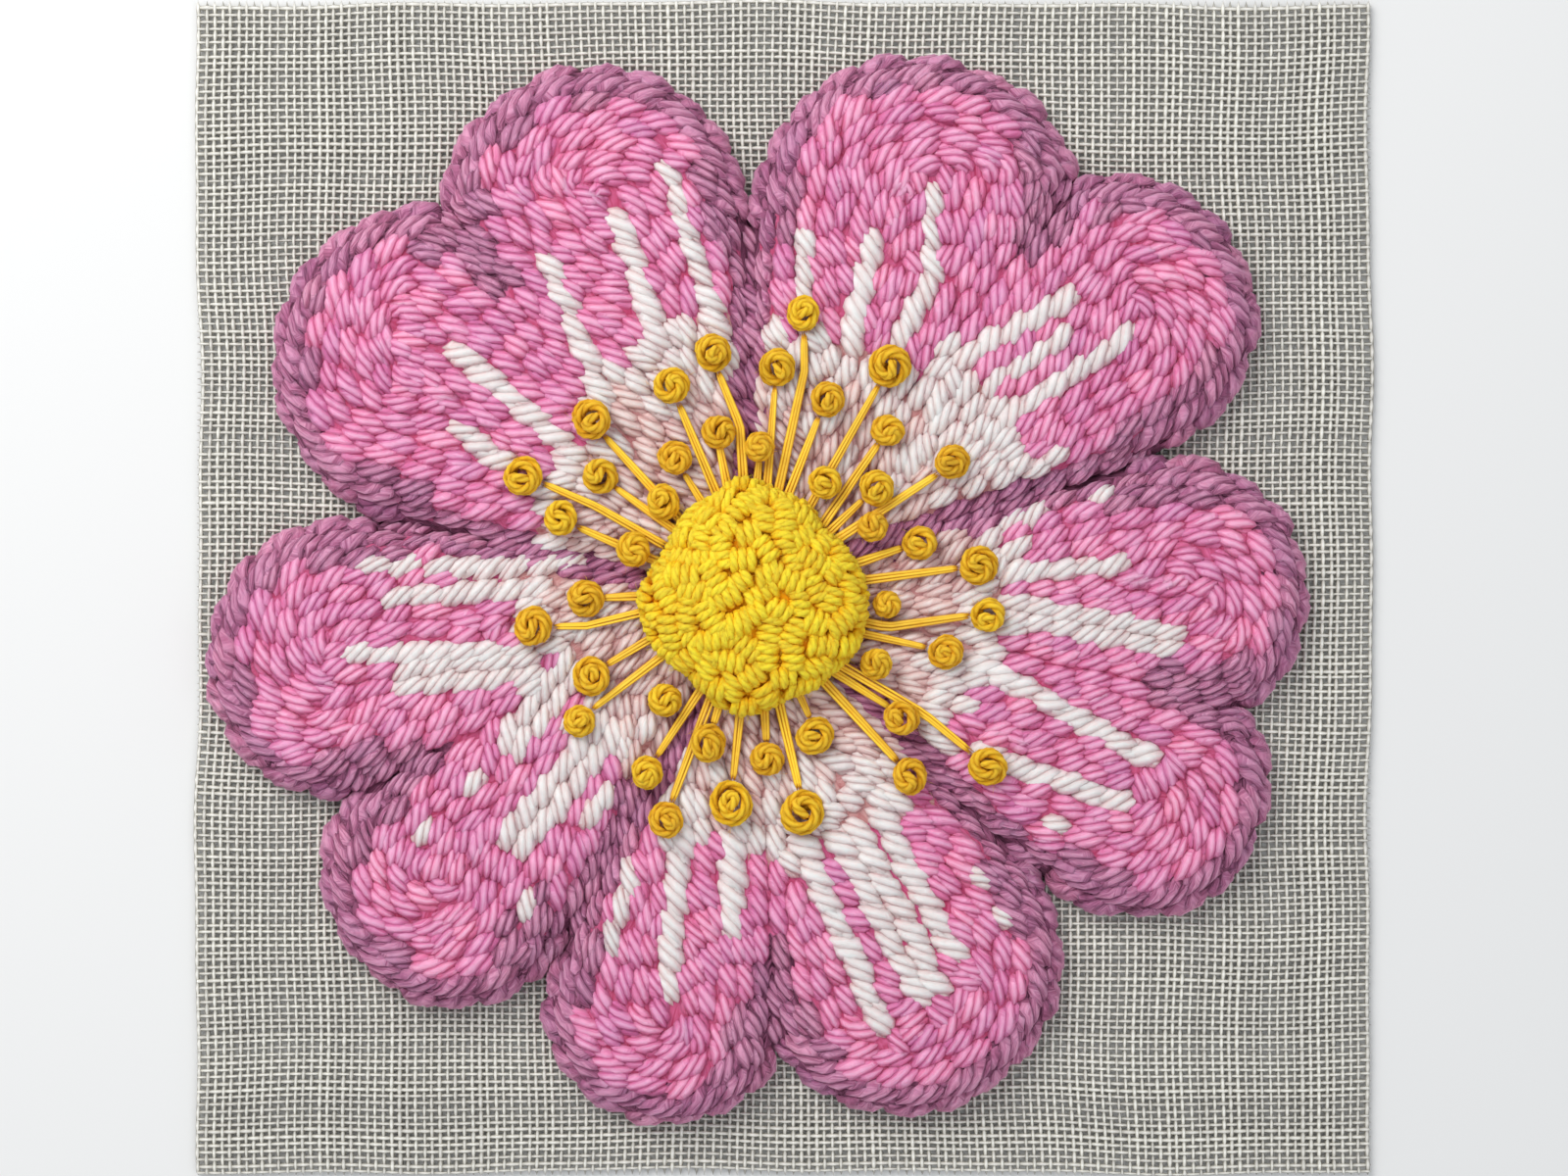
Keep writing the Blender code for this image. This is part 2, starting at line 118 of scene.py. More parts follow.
# Stitches: a usual one, those of the rim's two rows, and what chance may make of them
STITCH_LENGTH = 4.8 * MM
STITCH_STEP = 0.86
RIM_STITCH_LENGTHS = (6.4 * MM, 5.4 * MM)
RIM_GIRTHS = (1.36, 1.12)
RIM_STEP = 0.96
FULL_GIRTH = 1.3
LENGTH_SPREAD = 0.15
LENGTH_LIMITS = (3.0 * MM, 8.0 * MM)
SHORTEST_STITCH = 2.0 * MM
SLANT_DEG = (13.0, 8.0)
SHOWN = 0.75
COVER = 1.17 * MM
FILLER_LENGTH = 3.4 * MM
FILLER_GIRTH = 0.98
SPOTS = np.arange(-69.0, 69.0, 0.6) * MM
SPOT_DEPTH = 1.4 * MM
HEART_SHORTEST = 2.5 * MM

# Chains of the white streaks
CHAIN_STEP = 3.2 * MM
CHAIN_END = 0.6 * MM
CHAIN_SLANT_DEG = (19.0, 6.0)
TWO_ROWS_MM = 4.0
CHAIN_OVERLAP = 1.35
CHAIN_WIDTH_MM = 2.45
CHAIN_GIRTHS = (0.95, 1.35)
CHAIN_APART = 0.42

# Plies of the stitches' wool, how proud a stitch stands and how far its ends dip
PLIES = 5
PLY_RADIUS = 0.66 * MM
PLY_OFFSET = 0.66 * MM
PLY_TWIST_LENGTH = 8.0 * MM
STITCH_PROUD = 0.45 * MM
WHITE_PROUD = 0.15 * MM
STITCH_DIP = 1.7 * MM
STITCH_SHIFT = 0.12 * MM
STITCH_UNEVEN = 0.09 * MM
UNDER_HEIGHT = 1.3 * MM
FIBRE_SHIFT = 7 * MM

# Where mauve wool is worked: how near lines and rims, how far in, and how often astray in the second row
MAUVE_BESIDE = 6.5 * MM
MAUVE_STRAY = 0.12
MAUVE_SHOULDER = 3 * MM
GROOVE_MAUVE = 26 * MM
NOTCH_MAUVE = (12 * MM, 4 * MM)

# Reaches over which white wool takes over from blush, and how uneven the edge of both is
WHITE_RISE = (16 * MM, 30 * MM)
PALE_BLUR = 1.2 * MM

# How near the rim, grooves and notches the ground is mauve
GROUND_RIM = 5.0 * MM
GROUND_GROOVE = 1.7 * MM
GROUND_NOTCH = 2.2 * MM

# Loose hairs, and the ground under the stitches
HAIR_RADIUS = 0.026 * MM
HAIR_SIDES = 3
# Painted light: hairs take the colour near their yarn's painted top light
HAIR_PAINTED_LIGHT = 0.95
HAIRS_A_STITCH = 2
GROUND_SINK = 0.85 * MM
GROUND_IN = 0.75 * MM
GROUND_COLUMNS = 25
# Painted shade of the wool ground under the stitches
GROUND_PAINTED_SHADE = 0.22

# Linen threads
WARP_PITCH = 0.94 * MM
WEFT_PITCH = 0.81 * MM

# Stamens, as in the solids: place of the knot, its diameter, root of any floss and bends on the way
Knot = namedtuple("Knot", "angle_deg reach_mm diameter_mm root_deg bends", defaults=(None, ()))
KNOTS = tuple(Knot(*row) for row in (
    (79.5, 32.9, 4.4, 75.5, ((76.8, 26.5),)), (83.9, 26.3, 4.6, 81.5), (69.2, 24.0, 4.6, 70.0),
    (58.9, 30.9, 5.2, 56.0), (99.7, 28.1, 4.4, 94.5, ((94.1, 19.5),)), (111.3, 25.7, 4.6, 109.2),
    (102.4, 19.5, 4.1, 103.5), (133.1, 27.6, 5.1, 134.6), (142.5, 22.3, 4.7, 140.4),
    (119.9, 18.0, 4.5, 118.5), (133.0, 14.6, 4.3), (152.6, 29.8, 4.8, 151.5, ((150.9, 20.8),)),
    (159.0, 23.8, 4.6, 162.0), (160.1, 14.6, 4.3), (86.8, 17.2, 4.0, 88.0), (50.3, 24.7, 4.0, 43.5),
    (57.1, 15.5, 4.2), (40.5, 18.8, 4.4, 38.0), (32.8, 27.8, 4.6, 32.5), (28.2, 15.8, 4.0),
    (17.0, 20.4, 4.5, 15.5), (7.0, 26.5, 4.8, 6.5), (355.2, 27.5, 4.3, 345.0, ((345.9, 16.2),)),
    (355.5, 15.7, 3.8), (343.1, 23.3, 4.5, 337.5), (330.2, 16.5, 3.9), (321.1, 22.9, 4.4, 313.5),
    (323.8, 33.9, 4.9, 319.0, ((325.0, 24.4),)), (311.0, 28.2, 4.6, 308.3), (294.5, 18.1, 4.9, 295.0),
    (283.5, 26.0, 5.4, 284.0), (275.2, 19.3, 4.3, 276.5), (264.3, 24.3, 5.3, 264.5),
    (253.7, 18.0, 4.7, 253.7), (249.0, 28.2, 4.5, 248.3), (230.8, 16.2, 4.5), (239.5, 24.0, 4.1, 243.0),
    (216.1, 24.8, 4.1, 214.5), (206.7, 21.0, 4.7, 202.5), (188.8, 25.6, 4.9, 189.0, ((191.1, 19.6),)),
    (181.8, 19.4, 4.5, 181.0),
))
RING_REACH = 10.7 * MM


# Relief of the worked petals

def unit(vectors):
    """Vectors of length one."""
    return vectors / np.maximum(np.linalg.norm(vectors, axis=-1, keepdims=True), 1e-12)


def smoothstep(low, high, value):
    """Smooth rise from 0 at low to 1 at high."""
    share = np.clip((np.asarray(value) - low) / (high - low), 0.0, 1.0)
    return share * share * (3.0 - 2.0 * share)


def on_circle(radius, turn):
    """Plan points on a circle about zero."""
    return np.stack([radius * np.cos(turn), radius * np.sin(turn)], axis=-1)


def polar(angle_deg, reach):
    """Plan points at angles and reaches about the flower's centre."""
    return FLOWER + on_circle(reach, np.radians(angle_deg))


def with_height(plan, height):
    """Points at plan points and heights."""
    return np.concatenate([plan, height[..., None]], axis=-1)


def to_polar(x, y):
    """Angle in degrees, from the first lobe's start upwards, and reach about the flower's centre."""
    angle = np.degrees(np.arctan2(y - FLOWER_Y, x - FLOWER_X)) % 360.0
    angle = np.where(angle < LOBES[0].start_deg, angle + 360.0, angle)
    return angle, np.hypot(x - FLOWER_X, y - FLOWER_Y)


def lobe_shoulder(lobe):
    """Reach at which the lobe's straight sides meet its round tip."""
    return math.sqrt(lobe.distance_mm ** 2 - lobe.radius_mm ** 2) * MM


def lobe_reach(lobe, angle_deg):
    """Reach of the lobe's outline at angles."""
    distance = lobe.distance_mm * MM
    radius = lobe.radius_mm * MM
    spread = math.asin(radius / distance)
    turn = np.minimum(np.abs(np.radians(np.asarray(angle_deg) - lobe.tip_deg)), spread)
    inside = np.maximum(radius ** 2 - (distance * np.sin(turn)) ** 2, 0.0)
    return distance * np.cos(turn) + np.sqrt(inside)


def rim_depth(lobe, angle_deg, reach):
    """Distance in from the lobe's round tip, or further in from its straight sides."""
    distance = lobe.distance_mm * MM
    radius = lobe.radius_mm * MM
    spread = math.asin(radius / distance)
    turn = np.abs(np.radians(angle_deg - lobe.tip_deg))
    along = reach * np.cos(turn) - distance
    across = reach * np.sin(turn)
    at_tip = np.arctan2(across, along) <= math.pi / 2 + spread
    depth = np.where(at_tip, radius - np.hypot(along, across), reach * np.sin(spread - turn))
    return np.maximum(depth, 0.0)


def groove(angle_deg, groove_deg, reach, depth):
    """Factor that draws the surface down along a radial groove."""
    turn = np.minimum(np.abs(np.radians(angle_deg - groove_deg)), math.pi / 2)
    return 1.0 - depth * np.exp(-(reach * np.sin(turn) / GROOVE_WIDTH) ** 2)


def notch_of(index):
    """Angle and outline reach of the notch beside a lobe, and the angle of its groove to the next petal."""
    lobe = LOBES[index]
    first_of_petal = index % 2 == 0
    notch_deg = lobe.end_deg if first_of_petal else lobe.start_deg
    groove_deg = lobe.start_deg if first_of_petal else lobe.end_deg
    second = LOBES[index + 1] if first_of_petal else lobe
    return notch_deg, float(lobe_reach(second, notch_deg)), groove_deg


def relief(x, y):
    """Height of the worked surface above the cloth's underside; the cloth's own face outside the petals."""
    x = np.asarray(x, dtype=float)
    y = np.asarray(y, dtype=float)
    angle, reach = to_polar(x, y)
    height = np.full(x.shape, CLOTH_FACE + RIM_HEIGHT)
    for index, lobe in enumerate(LOBES):
        here = (angle >= lobe.start_deg) & (angle <= lobe.end_deg)
        a, r = angle[here], reach[here]
        notch_deg, notch_reach, _ = notch_of(index)
        shoulder = lobe_shoulder(lobe)
        crown = INNER_CROWN + (OUTER_CROWN - INNER_CROWN) * smoothstep(*CROWN_RISE, r)
        rolled = smoothstep(shoulder - ROLL_FADE, shoulder, r)
        share = np.minimum(rim_depth(lobe, a, r) / RIM_ROLL, 1.0)
        fall = 1.0 - rolled * (1.0 - np.sqrt(1.0 - (1.0 - share) ** 2))
        near = smoothstep(notch_reach - NOTCH_FADE, notch_reach, r)
        fall *= groove(a, notch_deg, r, NOTCH_GROOVE[0] + (NOTCH_GROOVE[1] - NOTCH_GROOVE[0]) * near)
        petal = index - index % 2
        for groove_deg in (LOBES[petal].start_deg, LOBES[petal + 1].end_deg):
            fall *= groove(a, groove_deg, r, PETAL_GROOVE)
        height[here] = CLOTH_FACE + RIM_HEIGHT + (crown - RIM_HEIGHT) * fall
    return height


def surface_normals(x, y, step=0.3 * MM, steepest=1.5):
    """Upward normals of the relief, with its steepest slopes eased."""
    slope_x = (relief(x + step, y) - relief(x - step, y)) / (2 * step)
    slope_y = (relief(x, y + step) - relief(x, y - step)) / (2 * step)
    slope = np.hypot(slope_x, slope_y)
    ease = np.minimum(1.0, steepest / np.maximum(slope, 1e-6))
    normal = np.stack([-slope_x * ease, -slope_y * ease, np.ones_like(slope_x)], axis=-1)
    return unit(normal)


# Tube and mesh building

def left_of(heading):
    """Plan direction to the left of a heading."""
    return np.stack([-heading[..., 1], heading[..., 0]], axis=-1)


def sides_of(lines, up):
    """Directions across lines (n, stations, 3) and above them, at each station."""
    tangent = unit(np.gradient(lines, axis=1))
    across = unit(np.cross(tangent, np.broadcast_to(up, lines.shape)))
    return across, unit(np.cross(across, tangent))


def tubes(lines, radii, sides, up, start=0.0):
    """Closed tubes along lines (n, stations, 3), pinched to a point at both ends.

    Returns points (n, points a tube, 3) and how far each lies to its tube's upper side, from -1 to 1.
    """
    count, stations, _ = lines.shape
    across, above = sides_of(lines, up)
    inner = slice(1, stations - 1)
    turn = start + 2 * np.pi * np.arange(sides) / sides
    ring = (
        across[:, inner, None] * np.cos(turn)[None, None, :, None]
        + above[:, inner, None] * np.sin(turn)[None, None, :, None]
    )
    rings = lines[:, inner, None] + ring * radii[:, inner, None, None]
    points = np.concatenate([lines[:, :1], rings.reshape(count, -1, 3), lines[:, -1:]], axis=1)
    upper = np.tile(np.sin(turn), stations - 2)
    return points, np.concatenate([[0.0], upper, [0.0]])


def tube_faces(count, stations, sides):
    """Faces of count tubes laid one after another: quads along each and triangles at its ends."""
    rings = stations - 2
    size = rings * sides + 2
    around = np.arange(sides)
    after = (around + 1) % sides
    ring = 1 + np.arange(rings - 1)[:, None] * sides
    quads = np.stack([ring + around, ring + sides + around, ring + sides + after, ring + after], axis=-1)
    last = 1 + (rings - 1) * sides
    tris = np.concatenate([
        np.stack([np.zeros(sides, int), 1 + around, 1 + after], axis=-1),
        np.stack([np.full(sides, size - 1), last + after, last + around], axis=-1),
    ])
    offset = (np.arange(count) * size)[:, None, None]
    return (quads.reshape(-1, 4)[None] + offset).reshape(-1, 4), (tris[None] + offset).reshape(-1, 3)


def station_of(stations, sides):
    """Which station of its line each point of a tube belongs to."""
    return np.concatenate([[0], np.repeat(np.arange(1, stations - 1), sides), [stations - 1]])


def wind(lines, up, plies, offset, radii, turn, sides):
    """Plies wound about yarn lines (n, stations, 3), as tubes, ply after ply.

    Returns the plies' points, each one's place on its yarn's own line, its station, and how far it lies from
    that line and above it.
    """
    across, above = sides_of(lines, up)
    wound = []
    for ply in range(plies):
        angle = turn + 2 * np.pi * ply / plies
        aside = across * (offset * np.cos(angle))[..., None]
        wound.append(lines + aside + above * (offset * np.sin(angle))[..., None])
    up = np.tile(np.broadcast_to(up, lines.shape), (plies, 1, 1))
    points, _ = tubes(np.concatenate(wound), radii, sides, up)
    points[..., 2] = np.maximum(points[..., 2], UNDERSIDE)
    station = station_of(lines.shape[1], sides)
    home = np.tile(lines, (plies, 1, 1))[:, station]
    off = points - home
    rise = np.einsum("nmk,nmk->nm", off, up[:, station])
    return points, home, station, np.linalg.norm(off, axis=-1), rise


def ply_chance(count, plies):
    """A chance for each yarn, a little different for each of its plies."""
    return np.tile(rng.random(count), plies)[:, None] + 0.1 * rng.random((count * plies, 1))


def add_object(name, data, place=(0.0, 0.0, 0.0)):
    """Object at a place, in the scene."""
    made = bpy.data.objects.new(name, data)
    made.location = place
    bpy.context.scene.collection.objects.link(made)
    return made


def add_mesh(name, points, quads, tris, material, slot):
    """Mesh piece from arrays, shaded smooth, riding on the one body."""
    mesh = bpy.data.meshes.new(name)
    points = np.asarray(points, dtype=np.float32).reshape(-1, 3)
    corners = np.concatenate([np.ravel(quads), np.ravel(tris)]).astype(np.int32)
    starts = np.concatenate([np.arange(len(quads)) * 4, len(quads) * 4 + np.arange(len(tris)) * 3])
    mesh.vertices.add(len(points))
    mesh.vertices.foreach_set("co", points.ravel())
    mesh.loops.add(len(corners))
    mesh.loops.foreach_set("vertex_index", corners)
    mesh.polygons.add(len(starts))
    mesh.polygons.foreach_set("loop_start", starts.astype(np.int32))
    mesh.update(calc_edges=True)
    mesh.validate()
    mesh.shade_smooth()
    mesh.materials.append(material)
    piece = add_object(name, mesh)
    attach(piece, "root")
    return piece


def paint(piece, chance, painted_shading, along):
    """Point values that the yarn materials read: a strand's chance, its painted shading (low for painted
    shade in crevices, high for painted light on top) and length along it.
    """
    values = np.stack(np.broadcast_arrays(chance, painted_shading, along), axis=-1).astype(np.float32)
    attribute = piece.data.attributes.new("yarn", "FLOAT_VECTOR", "POINT")
    attribute.data.foreach_set("vector", values.ravel())


def fuzz_hairs(points, homes, count):
    """Fine loose hairs that stand away from strands, as three-sided spindles."""
    strands, size, _ = points.shape
    strand = rng.integers(0, strands, count)
    place = rng.integers(1, size - 1, count)
    root = points[strand, place]
    out = unit(root - homes[strand, place])
    aside = unit(np.cross(out, rng.normal(size=(count, 3))))
    heading = unit(aside + out * rng.uniform(0.2, 1.0, (count, 1)))
    length = rng.uniform(0.7, 1.7, (count, 1)) * MM
    middle = root + heading * length * 0.5 + out * 0.05 * MM
    tip = root + heading * length - out * 0.10 * MM
    lines = np.stack([root - out * 0.08 * MM, middle, tip], axis=1)
    hairs, _ = tubes(lines, np.full((count, 3), HAIR_RADIUS), HAIR_SIDES, out[:, None])
    lift = np.maximum(UNDERSIDE - hairs[..., 2].min(axis=1), 0.0)
    hairs[..., 2] += lift[:, None]
    return hairs


def add_yarn(name, points, homes, chance, painted_shading, along, sides, hairs, material, slot):
    """Piece of strands with their loose hairs."""
    stations = (points.shape[1] - 2) // sides + 2
    quads, tris = tube_faces(len(points), stations, sides)
    fuzz = fuzz_hairs(points, homes, hairs).reshape(-1, 3)
    _, hair_tris = tube_faces(hairs, 3, HAIR_SIDES)
    tris = np.concatenate([tris, hair_tris + points.shape[0] * points.shape[1]])
    every = np.concatenate([points.reshape(-1, 3), fuzz])
    piece = add_mesh(name, every, quads, tris, material, slot)
    strand_values = np.broadcast_arrays(chance, painted_shading, along)
    # Hairs take painted light near the top colour
    hair_values = (rng.random(len(fuzz)), np.full(len(fuzz), HAIR_PAINTED_LIGHT), np.zeros(len(fuzz)))
    paint(piece, *[np.concatenate([np.ravel(a), b]) for a, b in zip(strand_values, hair_values)])
    return piece


# Materials

def srgb(code):
    """Linear colour from a hex code."""
    values = [int(code[i:i + 2], 16) / 255.0 for i in (0, 2, 4)]
    return tuple(v / 12.92 if v <= 0.04045 else ((v + 0.055) / 1.055) ** 2.4 for v in values)


def fill(tree, node, inputs):
    """Set a node's inputs to values, or join them to other nodes' outputs."""
    for key, value in inputs.items():
        if isinstance(value, bpy.types.NodeSocket):
            tree.links.new(value, node.inputs[key])
        else:
            node.inputs[key].default_value = value


def add_node(tree, kind, inputs, **settings):
    """Shader node with its settings and inputs."""
    node = tree.nodes.new("ShaderNode" + kind)
    for name, value in settings.items():
        setattr(node, name, value)
    fill(tree, node, inputs)
    return node


def scaled(tree, value, factor, extra):
    """A node's output times a factor, plus a constant."""
    return add_node(tree, "Math", {0: value, 1: factor, 2: extra}, operation="MULTIPLY_ADD").outputs[0]


def yarn_material(name, painted_shade_colour, middle, top, roughness=0.9, sheen=0.10, fibre=1.0, vary=0.10, soft=0.12,
                  glow=(1.0, 0.6, 0.6), tint=0.006):
    """Wool or floss: painted shade in the crevices and painted light on top, with fine fibres along each
    strand.

    fibre is how strong the fibres are, vary and tint how far strands differ in lightness and hue, and soft
    and glow how much light passes through and its colour.
    """
    painted_shade_colour, middle, top = srgb(painted_shade_colour), srgb(middle), srgb(top)
    material = bpy.data.materials.new(name)
    material.use_nodes = True
    tree = material.node_tree
    yarn = add_node(tree, "Attribute", {}, attribute_name="yarn").outputs["Vector"]
    parts = add_node(tree, "SeparateXYZ", {0: yarn})
    chance, painted_shading = parts.outputs["X"], parts.outputs["Y"]
    place = add_node(tree, "TexCoord", {}).outputs["Object"]
    patches = add_node(tree, "TexNoise", {"Vector": place, "Scale": 900.0, "Detail": 3.0}).outputs["Fac"]
    drawn = add_node(tree, "VectorMath", {0: yarn, 1: (57.0, 13.0, 700.0)}, operation="MULTIPLY")
    fibres = add_node(tree, "TexNoise", {
        "Vector": drawn.outputs["Vector"], "Scale": 1.0, "Detail": 4.0, "Roughness": 0.65,
    }).outputs["Fac"]

    streaks = scaled(tree, fibres, fibre, -0.5 * fibre)
    # Painted shading, with the fibres' streaks, sets each point's place on the ramp: painted shade low,
    # painted light high
    depth = add_node(tree, "Math", {0: painted_shading, 1: streaks}, operation="ADD", use_clamp=True)
    colour = add_node(tree, "ValToRGB", {"Fac": depth.outputs[0]})
    ends = colour.color_ramp.elements
    ends[0].position, ends[0].color = 0.0, (*painted_shade_colour, 1.0)
    ends[1].position, ends[1].color = 0.92, (*top, 1.0)
    ends.new(0.5).color = (*middle, 1.0)

    lightness = scaled(tree, chance, 2 * vary, 1.0 - vary)
    mottle = scaled(tree, patches, 0.24, 0.88)
    tone = add_node(tree, "HueSaturation", {
        "Hue": scaled(tree, chance, 2 * tint, 0.5 - tint),
        "Value": add_node(tree, "Math", {0: lightness, 1: mottle}, operation="MULTIPLY").outputs[0],
        "Color": colour.outputs["Color"],
    })
    bump = add_node(tree, "Bump", {"Strength": 0.8 * fibre, "Distance": 0.15 * MM, "Height": fibres})
    fill(tree, tree.nodes["Principled BSDF"], {
        "Base Color": tone.outputs["Color"], "Normal": bump.outputs["Normal"],
        "Roughness": roughness, "Specular IOR Level": 0.25,
        "Sheen Weight": sheen, "Sheen Roughness": 0.5, "Sheen Tint": (*top, 1.0),
        "Subsurface Weight": soft, "Subsurface Radius": glow, "Subsurface Scale": 1.1 * MM,
    })
    return material


# Colours of each yarn: painted shade for its crevices, its colour midway, and painted light on top
PINK = yarn_material("pink_wool", "A8284E", "E07AA8", "F8AED0", vary=0.12, soft=0.3, tint=0.012)
MAUVE = yarn_material("mauve_wool", "3A0C26", "AE668A", "DC9ABA", fibre=1.7, vary=0.12, soft=0.3, tint=0.010)
WHITE = yarn_material("white_wool", "C87E84", "E8D4D2", "F2ECEA", vary=0.04, soft=0.3)
BLUSH = yarn_material("blush_wool", "A6585C", "E0B8B4", "F2DEDA", vary=0.08, soft=0.3)
OCHRE = yarn_material("ochre_wool", "905004", "E2A014", "FAC434", vary=0.06, soft=0.25, glow=(1.0, 0.6, 0.2))
YELLOW = yarn_material("yellow_wool", "F08C00", "F6B808", "FCDC38", vary=0.06, soft=0.25,
                       glow=(1.2, 0.8, 0.2))
GOLD = yarn_material("gold_floss", "A85400", "F4A812", "FFD23E", roughness=0.40, sheen=0.05, fibre=0.9,
                     vary=0.10, soft=0.0)
LINEN = yarn_material("linen_thread", "6E685C", "C4C0B4", "F8F5EC", roughness=0.92, sheen=0.05, fibre=0.6,
                      vary=0.14, soft=0.25, glow=(1.0, 0.97, 0.93))
WOOLS = {"pink": PINK, "mauve": MAUVE, "white": WHITE, "blush": BLUSH}


# Stitches

# A plan path with the length along it at each point, and a stitch by its middle and length on a path
Path = namedtuple("Path", "points length_at")
Stitch = namedtuple("Stitch", "path middle length girth slant wool under lobe")


def measured(points):
    """Path through plan points."""
    steps = np.linalg.norm(np.diff(points, axis=0), axis=1)
    return Path(points, np.concatenate([[0.0], np.cumsum(steps)]))


def along_path(path, at):
    """Plan points at lengths along a path."""
    return np.stack([np.interp(at, path.length_at, path.points[:, axis]) for axis in (0, 1)], axis=-1)


def straight_line(start, end):
    """Plan points on a straight line between two others."""
    steps = max(int(np.linalg.norm(end - start) / PATH_STEP), 3)
    return start + (end - start) * np.linspace(0.0, 1.0, steps)[:, None]


def smoothed(points, times):
    """Line with its corners eased by moving averages, its ends kept."""
    points = points.copy()
    for _ in range(times):
        points[1:-1] = (points[:-2] + 2 * points[1:-1] + points[2:]) / 4
    return points


def distance_to_line(points, start, end):
    """Distance of plan points from the straight line between two others."""
    along = end - start
    share = np.clip((points - start) @ along / np.dot(along, along), 0.0, 1.0)
    return np.linalg.norm(points - start - share[..., None] * along, axis=-1)


def off_line(angle_deg, reach, line_deg):
    """Distance of a point from a radial line."""
    return reach * abs(math.sin(math.radians(angle_deg - line_deg)))


def rim_extra(row):
    """How much further in than its sides a row lies at the tip."""
    return RIM_EXTRA[min(row, len(RIM_EXTRA) - 1)]


def lobe_limits(lobe):
    """Turns from a lobe's middle line to its start and end."""
    return math.radians(lobe.start_deg - lobe.tip_deg), math.radians(lobe.end_deg - lobe.tip_deg)


def tip_arc(lobe, radius, turn):
    """Points on an arc about the middle of a lobe's tip, along and across the lobe's middle line."""
    return on_circle(radius, turn) + np.array([lobe.distance_mm * MM, 0.0])


def from_middle_line(lobe, points):
    """Plan points from points given along and across a lobe's middle line."""
    tip = math.radians(lobe.tip_deg)
    turned = points @ np.array([[math.cos(tip), math.sin(tip)], [-math.sin(tip), math.cos(tip)]])
    return turned + FLOWER


def row_line(lobe, row):
    """Plan points of one stitch row round a lobe, which part each is on, and the radius of its turn.

    The row leaves the centre beside the lobe's end, rounds the tip and comes back beside its start.
    None where the lobe is filled.
    """
    distance = lobe.distance_mm * MM
    side_depth = FIRST_ROW + row * ROW_PITCH
    extra = rim_extra(row)
    depth_at_tip = side_depth + extra
    radius = lobe.radius_mm * MM - depth_at_tip
    if radius < TIGHTEST_TURN:
        return None
    low, high = lobe_limits(lobe)
    apex = side_depth / math.tan((high - low) / 2)
    inner = max(apex, math.sqrt(max(INNER_REACH ** 2 - side_depth ** 2, 0.0)))
    arms = []
    meets = []
    for turn in (high, low):
        off = distance * abs(math.sin(turn)) - depth_at_tip
        meet = distance * math.cos(turn) + math.sqrt(max(radius ** 2 - off ** 2, 0.0))
        if meet <= inner:
            return None
        u = np.linspace(inner, meet, max(int((meet - inner) / PATH_STEP), 3))
        depth = side_depth + extra * smoothstep(meet - ROW_EASE, meet, u)
        inward = np.array([math.sin(abs(turn)), -math.copysign(math.cos(turn), turn)])
        arm = u[:, None] * np.array([math.cos(turn), math.sin(turn)]) + depth[:, None] * inward
        arms.append(arm)
        meets.append(math.atan2(arm[-1, 1], arm[-1, 0] - distance))
    steps = max(int(radius * (meets[0] - meets[1]) / PATH_STEP), 4)
    arc = tip_arc(lobe, radius, np.linspace(meets[0], meets[1], steps))[1:-1]
    points = np.concatenate([arms[0], arc, arms[1][::-1]])
    part = np.repeat([BESIDE_END, ROUND_TIP, BESIDE_START], [len(arms[0]), len(arc), len(arms[1])])
    return smoothed(from_middle_line(lobe, points), 4), part, radius


def under_row_line(lobe):
    """Plan points of the row tucked under the rolled rim, round the tip only."""
    low, high = lobe_limits(lobe)
    turn = np.linspace(math.pi / 2 + high, -math.pi / 2 + low, 160)
    arc = tip_arc(lobe, lobe.radius_mm * MM - UNDER_DEPTH, turn)
    bearing = np.arctan2(arc[:, 1], arc[:, 0])
    return from_middle_line(lobe, arc[(bearing > low + UNDER_MARGIN) & (bearing < high - UNDER_MARGIN)])


def lobe_at(angle_deg):
    """Number of the lobe at an angle."""
    return next(index for index, lobe in enumerate(LOBES) if angle_deg <= lobe.end_deg + 0.01)


def wool_at(index, row, part, x, y):
    """Which wool a stitch is worked in: mauve at rims and grooves, white and blush inside, else pink."""
    lobe = LOBES[index]
    angle, reach = (float(value) for value in to_polar(x, y))
    notch_deg, notch_reach, groove_deg = notch_of(index)
    if row == SEAM_ROW or (part == ROUND_TIP and row == 0):
        return "mauve"
    if part == ROUND_TIP:
        beside = min(off_line(angle, reach, line_deg) for line_deg in (notch_deg, groove_deg))
        mauve = row == 1 and (beside < MAUVE_BESIDE or rng.random() < MAUVE_STRAY)
    elif (groove_deg == lobe.end_deg) == (part == BESIDE_END):
        mauve = (reach > GROOVE_MAUVE or index % 2 == 0) if row == 0 else (
            row == 1 and reach > lobe_shoulder(lobe) - MAUVE_SHOULDER)
    else:
        mauve = row <= 1 and reach > notch_reach - NOTCH_MAUVE[row]
    if mauve:
        return "mauve"
    if reach < lobe.pale_mm * MM + rng.normal(0.0, PALE_BLUR):
        return "white" if rng.random() < smoothstep(*WHITE_RISE, reach) else "blush"
    return "pink"


